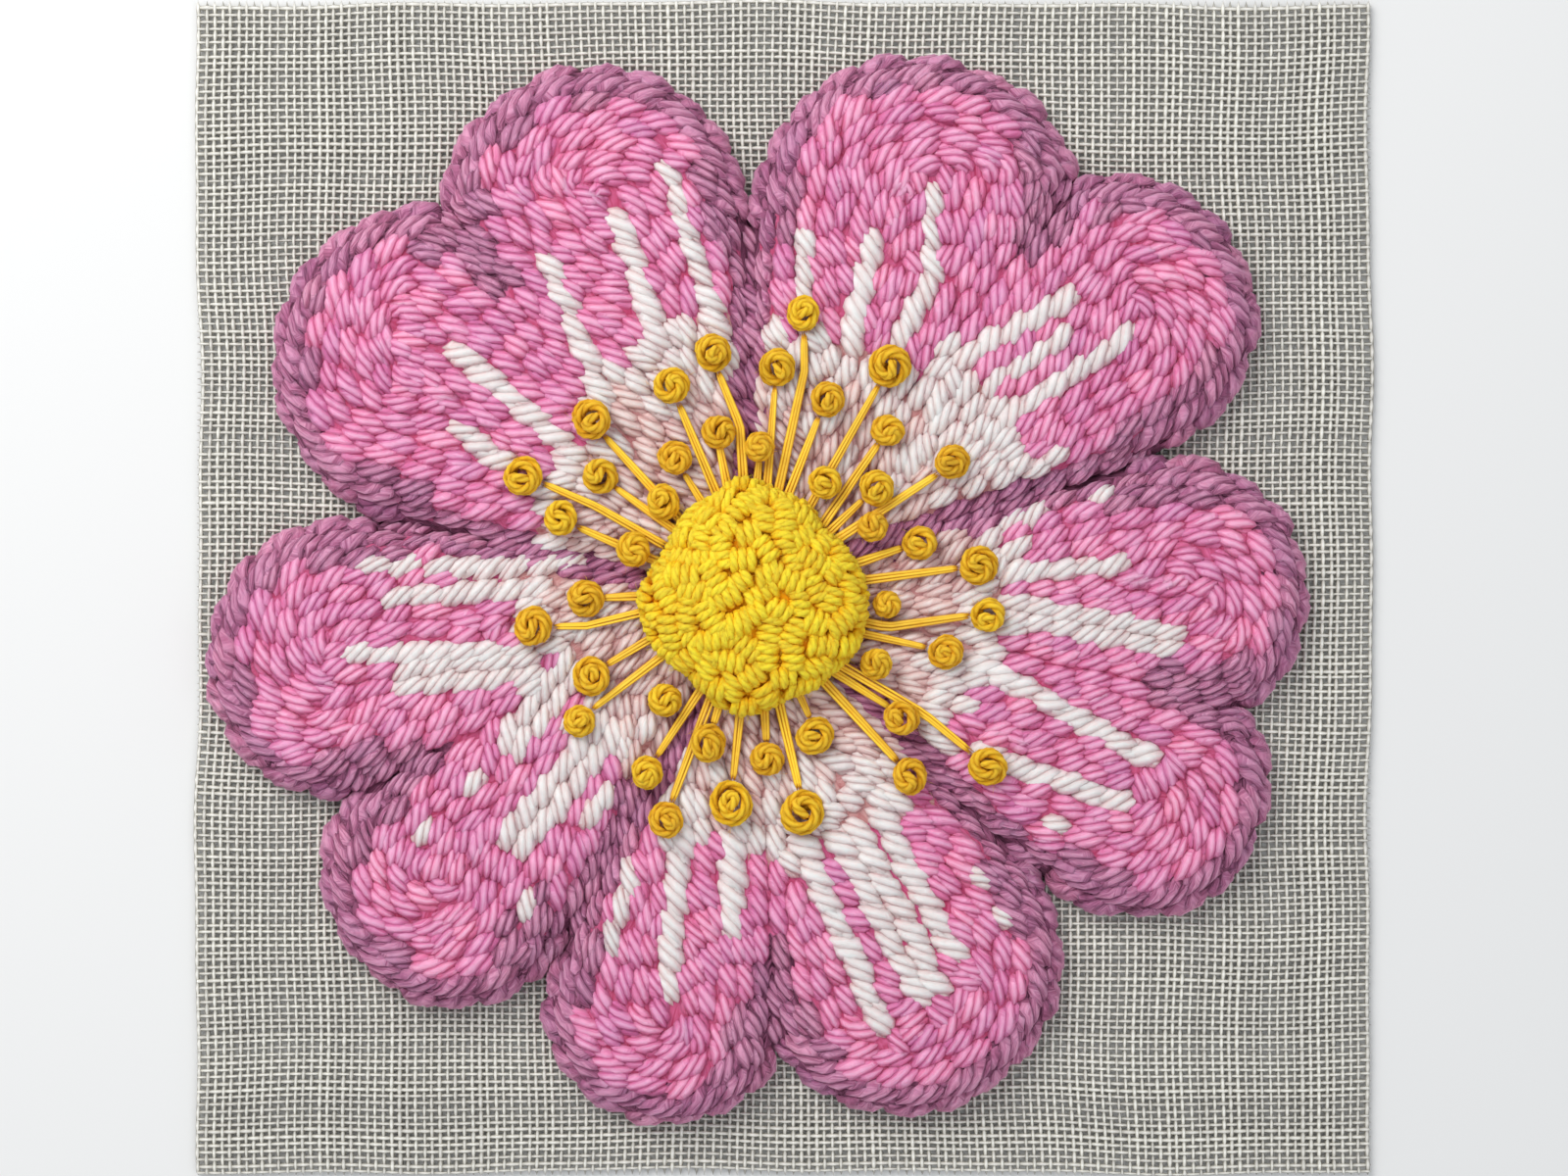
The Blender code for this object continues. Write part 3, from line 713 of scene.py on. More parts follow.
def cut_row(stitches, points, part, index, row, radius=0.0, under=False):
    """Cut one row into stitches, end to end with a little overlap, shorter where it turns tightly."""
    path = measured(points)
    total = path.length_at[-1]
    at = -rng.random() * STITCH_LENGTH * 0.6
    while at < total - ROW_END:
        here = int(np.searchsorted(path.length_at, np.clip(at + 1.8 * MM, 0.0, total)))
        at_tip = part[min(here, len(points) - 1)] == ROUND_TIP
        length, girth = STITCH_LENGTH, 1.0
        if at_tip and row <= 1:
            length, girth = RIM_STITCH_LENGTHS[row], RIM_GIRTHS[row]
        elif at_tip:
            length = min(STITCH_LENGTH, 2.0 * MM + 1.1 * radius)
        length = float(np.clip(length * (1.0 + LENGTH_SPREAD * rng.normal()), *LENGTH_LIMITS))
        start, end = max(at, 0.0), min(at + length, total)
        if end - start > SHORTEST_STITCH:
            middle = (start + end) / 2
            place = part[min(here, len(points) - 1)]
            wool = "mauve" if under else wool_at(index, row, place, *along_path(path, middle))
            slant = math.radians(rng.normal(*SLANT_DEG)) * (0.5 if row == 0 else 1.0)
            stitches.append(Stitch(path, middle, end - start, girth, slant, wool, under, index))
        at += length * STITCH_STEP * (RIM_STEP if at_tip and row == 0 else 1.0)


def chord(stitch):
    """Plan points at the start, middle and end of the part of a stitch that shows."""
    half = SHOWN * stitch.length / 2
    points = along_path(stitch.path, stitch.middle + np.array([-half, 0.0, half]))
    aside = left_of(unit(points[2] - points[0])) * math.tan(stitch.slant) * half
    points[0] -= aside
    points[2] += aside
    return points


def add_streaks(stitches):
    """Chains of white stitches along each streak, in place of the rows' stitches there."""
    middles = np.array([chord(stitch)[1] for stitch in stitches])
    covered = np.zeros(len(stitches), bool)
    chains = []
    for streak in STREAKS:
        start = polar(streak.inner_deg, streak.inner_mm * MM)
        end = polar(streak.outer_deg, streak.outer_mm * MM)
        covered |= distance_to_line(middles, start, end) <= (min(streak.width_mm, 5.0) / 2 + 0.45) * MM
        heading = unit(end - start)
        rows = 1 if streak.width_mm < TWO_ROWS_MM else 2
        girth = float(np.clip(streak.width_mm / rows / CHAIN_WIDTH_MM, *CHAIN_GIRTHS))
        index = lobe_at(float(to_polar(*((start + end) / 2))[0]))
        for row in range(rows):
            shift = left_of(heading) * (row - (rows - 1) / 2) * streak.width_mm * MM * CHAIN_APART
            first = start - heading * CHAIN_END + shift
            path = measured(straight_line(first, end + heading * CHAIN_END + shift))
            total = path.length_at[-1]
            count = max(round((total - 2 * CHAIN_END) / CHAIN_STEP), 1)
            step = (total - 2 * CHAIN_END) / count
            for number in range(count):
                middle = CHAIN_END + (number + 0.5) * step + rng.normal(0.0, 0.15) * MM
                slant = math.radians(rng.normal(*CHAIN_SLANT_DEG))
                length = min(step * CHAIN_OVERLAP, total)
                chains.append(Stitch(path, middle, length, girth, slant, "white", False, index))
    kept = [
        stitch for stitch, white in zip(stitches, covered)
        if not white or stitch.under or stitch.wool == "mauve"
    ]
    return kept + chains


def bare_distance(stitch, spots):
    """How far plan spots lie outside what a stitch covers."""
    start, _, end = chord(stitch)
    return distance_to_line(spots, start, end) - COVER * stitch.girth


def petal_spots():
    """Plan spots, evenly spread, where wool has to cover the petals."""
    x, y = (axis.ravel() for axis in np.meshgrid(SPOTS, SPOTS))
    angle, reach = to_polar(x, y)
    inside = np.zeros(x.shape, bool)
    for lobe in LOBES:
        here = (angle >= lobe.start_deg) & (angle <= lobe.end_deg)
        inside[here] = reach[here] < lobe_reach(lobe, angle[here]) - SPOT_DEPTH
    inside &= reach > INNER_REACH
    return np.stack([x[inside], y[inside]], axis=-1)


def add_fillers(stitches):
    """Short stitches wherever the ground would show between the others, the barest spot first."""
    spots = petal_spots()
    bare = np.full(len(spots), np.inf)
    nearest = np.zeros(len(spots), int)
    checked = 0
    while True:
        for number in range(checked, len(stitches)):
            if not stitches[number].under:
                distance = bare_distance(stitches[number], spots)
                closer = distance < bare
                bare[closer] = distance[closer]
                nearest[closer] = number
        checked = len(stitches)
        worst = int(bare.argmax())
        if bare[worst] < 0.0:
            return
        spot = spots[worst]
        beside = stitches[nearest[worst]]
        start, _, end = chord(beside)
        half = unit(end - start) * FILLER_LENGTH / 2
        path = measured(straight_line(spot - half, spot + half))
        index = lobe_at(float(to_polar(*spot)[0]))
        wool = beside.wool if beside.wool == "mauve" else wool_at(index, FILLER_ROW, ROUND_TIP, *spot)
        stitches.append(Stitch(path, path.length_at[-1] / 2, FILLER_LENGTH, FILLER_GIRTH,
                               rng.normal(0.0, 0.1), wool, False, index))


def add_heart(stitches, index, row):
    """Fill the middle of a lobe, inside its last row, with stitches along its axis."""
    lobe = LOBES[index]
    side_depth = FIRST_ROW + (row - 1) * ROW_PITCH
    tip_radius = lobe.radius_mm * MM - side_depth - rim_extra(row - 1)
    apex = side_depth / math.sin(math.radians(lobe.end_deg - lobe.start_deg) / 2)
    outer = lobe.distance_mm * MM + tip_radius - 1.1 * MM
    if outer - apex > HEART_SHORTEST:
        bisector = (lobe.start_deg + lobe.end_deg) / 2
        heart = straight_line(polar(bisector, apex + 1.3 * MM), polar(lobe.tip_deg, outer))
        cut_row(stitches, heart, np.full(len(heart), BESIDE_END), index, row)


def plan_stitches():
    """Every stitch of the ten lobes."""
    stitches = []
    for index, lobe in enumerate(LOBES):
        row = 0
        while (found := row_line(lobe, row)) is not None:
            points, part, radius = found
            cut_row(stitches, points, part, index, row, radius)
            row += 1
        add_heart(stitches, index, row)
        if index % 2 == 0:
            notch_deg, notch_reach, groove_deg = notch_of(index)
            for seam_deg, inner, outer in (
                (notch_deg, notch_reach - 10 * MM, notch_reach - 0.6 * MM),
                (groove_deg, 13 * MM, lobe_shoulder(lobe) - 1 * MM),
            ):
                seam = straight_line(polar(seam_deg, inner), polar(seam_deg, outer))
                cut_row(stitches, seam, np.full(len(seam), BESIDE_START), index, SEAM_ROW)
        under = under_row_line(lobe)
        cut_row(stitches, under, np.full(len(under), ROUND_TIP), index, 0, under=True)
    stitches = add_streaks(stitches)
    add_fillers(stitches)
    return stitches


# Stations along a stitch as shares of its half length, closer together where its ends dip
STATIONS = np.array([-1.0, -0.87, -0.60, -0.30, 0.0, 0.30, 0.60, 0.87, 1.0])
STITCH_SIDES = 4


def stitch_lines(stitches, length, girth, reach, under):
    """Middle line of each stitch on the relief, its ends dipping in, and the surface's normal there."""
    plan = np.array([along_path(s.path, s.middle + STATIONS * s.length / 2) for s in stitches])
    slant = np.array([stitch.slant for stitch in stitches])
    shift = rng.normal(0.0, STITCH_SHIFT, len(stitches))
    sideways = np.tan(slant)[:, None] * STATIONS * length[:, None] / 2 + shift[:, None]
    plan += left_of(unit(plan[:, -1] - plan[:, 0]))[:, None] * sideways[..., None]

    middle = plan[:, len(STATIONS) // 2]
    tips = [polar(LOBES[s.lobe].tip_deg, LOBES[s.lobe].distance_mm * MM) for s in stitches]
    outward = unit(middle - np.array(tips))
    tucked = unit(np.concatenate([outward, np.full((len(stitches), 1), 0.15)], axis=1))
    normal = np.where(under[:, None], tucked, surface_normals(middle[:, 0], middle[:, 1]))
    height = np.where(under[:, None], CLOTH_FACE + UNDER_HEIGHT, relief(plan[..., 0], plan[..., 1]))
    lines = with_height(plan, height)
    sink = np.where(under, 0.0, reach - STITCH_PROUD) + rng.normal(0.0, STITCH_UNEVEN, len(stitches))
    sink -= WHITE_PROUD * np.array([stitch.wool == "white" for stitch in stitches])
    dip = STITCH_DIP * np.minimum(length / STITCH_LENGTH, 1.3) * np.where(girth > FULL_GIRTH, 0.7, 1.0)
    drop = sink[:, None] + dip[:, None] * np.abs(STATIONS) ** 3.0
    return lines - normal[:, None] * drop[..., None], normal


def stitch_tubes(stitches):
    """Points of every ply of the given stitches, and the values that their material reads, among them
    painted shade and painted light.
    """
    count = len(stitches)
    length = np.array([stitch.length for stitch in stitches])
    under = np.array([stitch.under for stitch in stitches])
    planned_girth = np.array([stitch.girth for stitch in stitches])
    girth = planned_girth * (1.0 + 0.06 * rng.normal(size=count))
    reach = (PLY_OFFSET + PLY_RADIUS) * girth
    lines, normal = stitch_lines(stitches, length, planned_girth, reach, under)

    swell = 1.0 - 0.40 * np.abs(STATIONS) ** 4.0
    thick = girth[:, None] * swell
    turn = rng.random((count, 1)) * 2 * np.pi + np.pi * STATIONS * length[:, None] / PLY_TWIST_LENGTH
    radii = PLY_RADIUS * np.tile(thick, (PLIES, 1)) * (1.0 + 0.05 * rng.normal(size=(count * PLIES, 1)))
    points, home, station, out, rise = wind(
        lines, normal[:, None], PLIES, PLY_OFFSET * thick, radii, turn, STITCH_SIDES)

    wide = np.tile(reach, PLIES)[:, None]
    # Painted shade between the plies and where a stitch's ends dip, painted light on each stitch's upper
    # side
    ridge = 0.12 + 0.88 * np.clip((out / (wide * swell[station]) - 0.74) / 0.22, 0.0, 1.0)
    stitch_end_shade = 1.0 - 0.95 * np.abs(STATIONS[station]) ** 2.5
    painted_shading = ridge * np.clip(0.62 + 0.38 * rise / wide, 0.0, 1.0) * stitch_end_shade
    chance = np.clip(0.5 + 0.22 * rng.normal(size=count), 0.0, 1.0)
    chance = np.tile(chance, PLIES)[:, None] + 0.12 * (rng.random((count * PLIES, 1)) - 0.5)
    along = np.tile(length, PLIES)[:, None] * STATIONS[station] / 2
    return points, home, chance, painted_shading, along + np.arange(count * PLIES)[:, None] * FIBRE_SHIFT


def make_stitches():
    """One piece for each petal and wool."""
    stitches = plan_stitches()
    for petal in dict.fromkeys(lobe.petal for lobe in LOBES):
        for wool, material in WOOLS.items():
            chosen = [s for s in stitches if s.wool == wool and LOBES[s.lobe].petal == petal]
            yarn = stitch_tubes(chosen)
            hairs = HAIRS_A_STITCH * len(chosen)
            piece = add_yarn(f"{petal}_{wool}", *yarn, STITCH_SIDES, hairs, material, f"{wool}_wool")
            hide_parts(petal)


GROUND_WOOLS = ("pink", "mauve", "blush")


def ground_wool(x, y):
    """Wool that shows between the stitches at a plan point."""
    angle, reach = (float(value) for value in to_polar(x, y))
    index = lobe_at(angle)
    lobe = LOBES[index]
    notch_deg, notch_reach, groove_deg = notch_of(index)
    in_rim = reach > lobe_shoulder(lobe) and float(rim_depth(lobe, angle, reach)) < GROUND_RIM
    in_groove = off_line(angle, reach, groove_deg) < GROUND_GROOVE
    in_notch = reach > notch_reach - NOTCH_MAUVE[0] and off_line(angle, reach, notch_deg) < GROUND_NOTCH
    if in_rim or in_groove or in_notch:
        return "mauve"
    return "blush" if reach < lobe.pale_mm * MM else "pink"


def make_beds():
    """Closed wool ground under each petal's stitches."""
    foot = CLOTH_FACE + 0.08 * MM
    inner = INNER_REACH - 1.0 * MM
    shares = 1.0 - (1.0 - np.linspace(0.0, 1.0, 20)) ** 1.6
    for first, second in zip(LOBES[::2], LOBES[1::2]):
        turns = [np.linspace(lobe.start_deg, lobe.end_deg, GROUND_COLUMNS) for lobe in (first, second)]
        angles = np.concatenate([turns[0][:-1], turns[1]])
        outer = np.where(angles < first.end_deg, lobe_reach(first, angles), lobe_reach(second, angles))
        reach = inner + (outer - GROUND_IN - inner)[:, None] * shares
        plan = polar(angles[:, None], reach)
        top = np.maximum(relief(plan[..., 0], plan[..., 1]) - GROUND_SINK, foot + 0.1 * MM)
        points, quads = slab(with_height(plan, top), with_height(plan, np.full_like(top, foot)))
        piece = add_mesh(f"{first.petal}_ground", points, quads, np.zeros((0, 3), int), PINK, "pink_wool")
        for wool in GROUND_WOOLS[1:]:
            piece.data.materials.append(WOOLS[wool])
        middles = points[quads].mean(axis=1)
        wools = [GROUND_WOOLS.index(ground_wool(x, y)) for x, y, _ in middles]
        piece.data.polygons.foreach_set("material_index", wools)
        # The ground takes one fixed painted shade, as it lies under the stitches
        paint(piece, rng.random(len(points)) * 0.2 + 0.4, GROUND_PAINTED_SHADE, points[:, 0])
        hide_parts(first.petal)


def slab(upper, lower):
    """Closed body between two grids (rows, columns, 3) whose rows follow each other to the left."""
    rows, columns, _ = upper.shape
    below = rows * columns
    number = np.arange(below).reshape(rows, columns)
    a, b, c, d = number[:-1, :-1], number[1:, :-1], number[1:, 1:], number[:-1, 1:]
    top = np.stack([a, d, c, b], axis=-1).reshape(-1, 4)
    bottom = np.stack([a, b, c, d], axis=-1).reshape(-1, 4) + below
    edge = np.concatenate([number[0, :], number[1:, -1], number[-1, -2::-1], number[-2:0:-1, 0]])
    after = np.roll(edge, -1)
    walls = np.stack([edge, edge + below, after + below, after], axis=-1)
    points = np.concatenate([upper.reshape(-1, 3), lower.reshape(-1, 3)])
    return points, np.concatenate([top, bottom, walls])


# Linen

# Waves in which the weave wanders: size, waves across and along the threads' way, and shift
Wave = namedtuple("Wave", "size_mm across along shift")
WARP_WAVES = (Wave(0.30, 62, 0, 0.8), Wave(0.16, 171, 40, 0.0), Wave(0.10, 307, -90, 0.0))
WEFT_WAVES = (Wave(0.26, 55, 0, 1.9), Wave(0.15, 153, -60, 0.0), Wave(0.09, 290, 120, 0.0))
WARP_RADIUS = 0.29 * MM
WEFT_RADIUS = 0.265 * MM
WARP_LIFT = 0.17 * MM
WEFT_LIFT = 0.15 * MM
THREAD_APART = 11 * MM
THREAD_SIDES = 3


def wandered(waves, across, along):
    """How far threads wander at places across and along their way."""
    return sum(w.size_mm * MM * np.sin(w.across * across + w.along * along + w.shift) for w in waves)


def make_linen():
    """Open plain weave: warp and weft threads that go over and under each other."""
    warps = round(CLOTH_SIDE / WARP_PITCH)
    wefts = round(CLOTH_SIDE / WEFT_PITCH)
    x = (np.arange(warps) - (warps - 1) / 2) * WARP_PITCH + rng.normal(0.0, 0.05 * MM, warps)
    y = (np.arange(wefts) - (wefts - 1) / 2) * WEFT_PITCH + rng.normal(0.0, 0.045 * MM, wefts)
    x, y = np.meshgrid(x, y, indexing="ij")
    cross_x = x + wandered(WARP_WAVES, y, x)
    cross_y = y + wandered(WEFT_WAVES, x, y)
    parity = np.where((np.arange(warps)[:, None] + np.arange(wefts)[None, :]) % 2, 1.0, -1.0)
    middle = CLOTH_FACE / 2
    warp = np.stack([cross_x, cross_y, middle + WARP_LIFT * parity], axis=-1)
    weft = np.stack([cross_x, cross_y, middle - WEFT_LIFT * parity], axis=-1).transpose(1, 0, 2)
    for name, lines, axis, radius in (
        ("linen_warp", warp, 1, WARP_RADIUS), ("linen_weft", weft, 0, WEFT_RADIUS),
    ):
        first, last = lines[:, :1].copy(), lines[:, -1:].copy()
        first[..., axis] = -CLOTH_SIDE / 2
        last[..., axis] = CLOTH_SIDE / 2
        lines = np.concatenate([first, lines, last], axis=1)
        count, stations, _ = lines.shape
        uneven = 0.12 * rng.normal(size=(count, 1)) + 0.05 * rng.normal(size=(count, stations))
        points, upper = tubes(lines, radius * (1.0 + uneven), THREAD_SIDES, UP, start=math.pi / 2)
        piece = add_mesh(name, points, *tube_faces(count, stations, THREAD_SIDES), LINEN, "linen")
        over = (lines[:, station_of(stations, THREAD_SIDES), 2] - middle) / WARP_LIFT
        # Painted light on the threads' upper sides and where they pass over, painted shade on their lower
        # sides and under crossings
        painted_shading = np.clip(0.55 + 0.30 * upper + 0.22 * over, 0.0, 1.0)
        along = points[..., axis] + np.arange(count)[:, None] * THREAD_APART
        paint(piece, rng.random((count, 1)), painted_shading, along)
        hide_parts("cloth")


# Centre

# The boss's rough outline: how far out it reaches at bearings round it
CAP_OUTLINE_DEG = (3, 20, 45, 58, 76, 96, 113, 130, 153, 182, 209, 232, 265, 291, 308, 328)
CAP_OUTLINE_MM = (
    13.3, 12.4, 11.2, 12.5, 12.2, 13.3, 12.0, 12.0, 11.2, 13.3, 13.1, 12.2, 14.2, 13.1, 13.4, 13.8,
)
BOSS_MIDDLE = np.array([*FLOWER, CLOTH_FACE + 5.3 * MM])
BOSS_REACH = 12.4 * MM
BOSS_RISE = 4.5 * MM
BOSS_ROUND = 2.3
CORE_SINK = 0.6 * MM
# Painted shade of the core that lies under the loops
CORE_PAINTED_SHADE = 0.35
RIDGES = 98
LOOP_STATIONS = 9
LOOP_PLIES = 3
LOOP_SIDES = 5
LOOP_PITCH = 1.0 * MM
LOOP_OFFSET = 0.20 * MM
LOOP_RADIUS = 0.42 * MM
LOOP_TWIST = 2.8
LOOP_HAIRS = 3600


def onto_boss(points):
    """Points drawn onto the centre's dome from its middle, and the dome's outward normals there."""
    off = points - BOSS_MIDDLE
    bearing = np.degrees(np.arctan2(off[..., 1], off[..., 0])) % 360.0
    width = (np.interp(bearing, CAP_OUTLINE_DEG, CAP_OUTLINE_MM, period=360.0) - 0.5) * MM
    scale = np.stack([width, width, np.full_like(width, BOSS_RISE)], axis=-1)
    flat = np.hypot(off[..., 0], off[..., 1]) / width
    level = (flat ** BOSS_ROUND + np.abs(off[..., 2] / BOSS_RISE) ** BOSS_ROUND) ** (-1.0 / BOSS_ROUND)
    surface = off * level[..., None]
    share = np.hypot(surface[..., 0], surface[..., 1]) / width
    steep = np.stack([share, share, np.abs(surface[..., 2]) / BOSS_RISE], axis=-1) ** (BOSS_ROUND - 2.0)
    normal = unit(surface / scale ** 2 * steep)
    return BOSS_MIDDLE + surface, normal


def boss_places(count):
    """Points spread evenly over the dome and a little under its edge, like seeds on a head."""
    tilt = np.linspace(0.001, 0.60 * math.pi, 240)
    reach = BOSS_REACH * np.sin(tilt) ** (2 / BOSS_ROUND)
    rise = BOSS_RISE * np.sign(np.cos(tilt)) * np.abs(np.cos(tilt)) ** (2 / BOSS_ROUND)
    band = (reach[1:] + reach[:-1]) / 2 * np.hypot(np.diff(reach), np.diff(rise))
    area = np.concatenate([[0.0], np.cumsum(band)])
    wanted = (np.arange(count) + 0.5) / count * area[-1]
    angle = np.radians(137.508) * np.arange(count)
    reach_at = np.interp(wanted, area, reach)
    return BOSS_MIDDLE + with_height(on_circle(reach_at, angle), np.interp(wanted, area, rise))


def ridge_loops(place):
    """Loops of yarn that stand side by side in one short ridge of the centre."""
    base, normal = onto_boss(place)
    downhill = unit(base - BOSS_MIDDLE + np.array([1e-6, 0.0, 0.0]))
    round_edge = unit(np.cross(normal, downhill) + 1e-9)
    turn = rng.normal(0.0, 0.4) if normal[2] < 0.75 else rng.random() * math.pi
    along = round_edge * math.cos(turn) + np.cross(normal, round_edge) * math.sin(turn)
    across = np.cross(normal, along)
    span = rng.normal(1.55, 0.15) * MM
    lift = rng.normal(0.25, 0.16) * MM
    lean = rng.normal(0.2, 0.25) * MM
    share = np.linspace(-1.0, 1.0, LOOP_STATIONS)
    count = int(rng.integers(3, 5))
    found = []
    for number in range(count):
        start = base + along * (number - (count - 1) / 2) * LOOP_PITCH
        bowed = start + across * (share * span)[:, None] + along * (lean * share)[:, None]
        surface, outward = onto_boss(bowed)
        sag = 0.25 * MM * abs(number - (count - 1) / 2) / count
        arch = lift - sag + rng.normal(0.0, 0.06) * MM - 1.25 * MM * np.abs(share) ** 3.0
        found.append((surface + outward * arch[:, None], outward))
    return found


def make_centre():
    """A domed core covered in short ridges of standing wool loops, with painted light on their upper sides
    and painted shade towards their ends.
    """
    make_core()
    found = [loop for place in boss_places(RIDGES) for loop in ridge_loops(place)]
    lines, up = (np.array(values) for values in zip(*found))
    count = len(lines)
    share = np.linspace(-1.0, 1.0, LOOP_STATIONS)
    turn = rng.random((count, 1)) * 2 * np.pi + LOOP_TWIST * share
    radii = LOOP_RADIUS * (1.0 - 0.20 * np.abs(share) ** 4) * np.ones((count * LOOP_PLIES, 1))
    points, home, station, _, rise = wind(lines, up, LOOP_PLIES, LOOP_OFFSET, radii, turn, LOOP_SIDES)
    # Painted light on each loop's upper side, painted shade towards its ends
    painted_top_light = 0.62 + 0.38 * rise / (LOOP_OFFSET + LOOP_RADIUS)
    painted_shading = np.clip(painted_top_light - 0.40 * share[station] ** 2, 0.0, 1.0)
    along = share[station] * 3 * MM + np.arange(len(points))[:, None] * FIBRE_SHIFT
    piece = add_yarn("centre_loops", points, home, ply_chance(count, LOOP_PLIES), painted_shading, along,
                     LOOP_SIDES, LOOP_HAIRS, YELLOW, "yellow_wool")
    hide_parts("centre")


def make_core():
    """Closed body under the loops: a stem through the flower and a dome a little smaller than the cap."""
    columns = 48
    turn = np.linspace(0.0, 2 * math.pi, columns, endpoint=False)
    rings = []
    for tilt in np.radians((8, 16, 25, 35, 45, 55, 65, 75, 85, 95, 108)):
        out = BOSS_REACH * math.sin(tilt)
        rise = np.full(columns, BOSS_RISE * math.cos(tilt))
        surface, normal = onto_boss(BOSS_MIDDLE + with_height(on_circle(out, turn), rise))
        rings.append(surface - normal * CORE_SINK)
    for reach, height in ((9.4 * MM, 4.0 * MM), (9.2 * MM, 0.2 * MM)):
        rings.append(with_height(polar(np.degrees(turn), reach), np.full(columns, CLOTH_FACE + height)))
    top = BOSS_MIDDLE + (BOSS_RISE - CORE_SINK) * UP
    bottom = np.array([*FLOWER, CLOTH_FACE + 0.2 * MM])
    points = np.concatenate([[top], *rings, [bottom]])
    core = add_mesh("centre_core", points, *tube_faces(1, len(rings) + 2, columns), YELLOW, "yellow_wool")
    # The core takes one fixed painted shade, as it lies under the loops
    paint(core, 0.5, CORE_PAINTED_SHADE, points[:, 0])
    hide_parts("centre")


# Stamens

FLOSS_STATIONS = 14
FLOSS_SIDES = 6
FLOSS_RADIUS = 0.20 * MM
FLOSS_SPREAD = 0.30 * MM
FLOSS_CLEAR = 0.55 * MM
FLOSS_TOP = 0.35 * MM
ROOT_HEIGHT = 3.95 * MM


def strand_line(knot):
    """Plan points of a knot's floss from the ring to under the knot's edge."""
    target = polar(knot.angle_deg, knot.reach_mm * MM)
    points = [polar(knot.root_deg, RING_REACH)]
    points += [polar(angle, reach * MM) for angle, reach in knot.bends]
    approach = unit(target - points[-1])
    points.append(target - approach * (knot.diameter_mm * MM / 2 - 0.35 * MM))
    path = measured(np.array(points))
    return along_path(path, np.linspace(0.0, path.length_at[-1], FLOSS_STATIONS))


def taut(heights):
    """Heights of a thread pulled tight over the given surface heights."""
    hull = [0]
    for step in range(1, len(heights)):
        while len(hull) > 1:
            a, b = hull[-2], hull[-1]
            if heights[b] > heights[a] + (heights[step] - heights[a]) * (b - a) / (step - a):
                break
            hull.pop()
        hull.append(step)
    return np.interp(np.arange(len(heights)), hull, [heights[i] for i in hull])


def make_filaments():
    """Golden strands side by side for each stamen. Returns each bundle's knot, plan line and top."""
    lines = []
    tops = []
    share = np.linspace(0.0, 1.0, FLOSS_STATIONS)
    for knot in (knot for knot in KNOTS if knot.root_deg is not None):
        plan = strand_line(knot)
        surface = relief(plan[:, 0], plan[:, 1]) + FLOSS_CLEAR
        surface[0] = max(surface[0], CLOTH_FACE + ROOT_HEIGHT)
        height = taut(surface)
        tops.append((knot, plan, height + FLOSS_TOP))
        aside = left_of(unit(np.gradient(plan, axis=0)))
        spread = FLOSS_SPREAD * (1.25 - 0.55 * share ** 2)
        spin = rng.uniform(-0.4, 0.4) + rng.uniform(-0.6, 0.6) * share
        for strand in (-1.0, 0.0, 1.0):
            across = strand * spread * np.cos(spin) + rng.normal(0.0, 0.03) * MM
            lift = strand * spread * np.sin(spin) * 0.6 + 0.10 * MM * (strand == 0.0)
            lines.append(with_height(plan + aside * across[:, None], height + lift))
    lines = np.array(lines)
    radii = np.full(lines.shape[:2], FLOSS_RADIUS) * (1.0 + 0.08 * rng.normal(size=(len(lines), 1)))
    points, upper = tubes(lines, radii, FLOSS_SIDES, UP)
    faces = tube_faces(len(lines), FLOSS_STATIONS, FLOSS_SIDES)
    piece = add_mesh("filament_floss", points, *faces, GOLD, "gold_floss")
    reach = np.hypot(points[..., 0], points[..., 1])
    # Painted light on each strand's upper side, painted shade on its lower side
    paint(piece, rng.random((len(lines), 1)), 0.5 + 0.5 * upper, reach)
    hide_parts("filaments")
    return tops


def knot_seat(knot, tops):
    """Height of a knot's underside, above the wool and any floss that runs under it."""
    centre = polar(knot.angle_deg, knot.reach_mm * MM)
    radius = knot.diameter_mm * MM / 2
    turn = np.linspace(0.0, 2 * math.pi, 16, endpoint=False)
    around = centre + on_circle(radius * 0.8, turn)
    seat = float(relief(around[:, 0], around[:, 1]).max()) + 0.15 * MM
    for owner, plan, height in tops:
        near = np.linalg.norm(plan - centre, axis=1) < radius + 0.5 * MM
        if owner is not knot and near.any():
            seat = max(seat, float(height[near].max()) + 0.05 * MM)
    return seat


# Way of a knot's yarn: share of its length, share of the knot's radius it runs at, height in yarn widths
WindingPoint = namedtuple("WindingPoint", "share reach level")
WINDING = tuple(WindingPoint(*row) for row in (
    (0.00, 0.10, 0.50), (0.08, 0.55, 0.45), (0.18, 1.00, 0.60), (0.48, 1.02, 0.95), (0.58, 0.82, 1.50),
    (0.82, 0.72, 1.85), (0.90, 0.55, 2.30), (0.95, 0.05, 2.45), (1.00, -0.55, 1.30),
))
KNOT_STATIONS = 46
KNOT_TURNS = 2.6
KNOT_YARN = 0.58 * MM
KNOT_PLIES = 3
KNOT_SIDES = 5
KNOT_PLY_OFFSET = 0.38 * KNOT_YARN
KNOT_PLY_RADIUS = 0.65 * KNOT_YARN
KNOT_TWIST = 34.0
KNOT_HAIRS = 900


def wander(stations, bends):
    """Smooth random values along a line."""
    values = np.interp(np.linspace(0.0, bends - 1.0, stations), np.arange(bends), rng.normal(size=bends))
    return smoothed(values, 2)


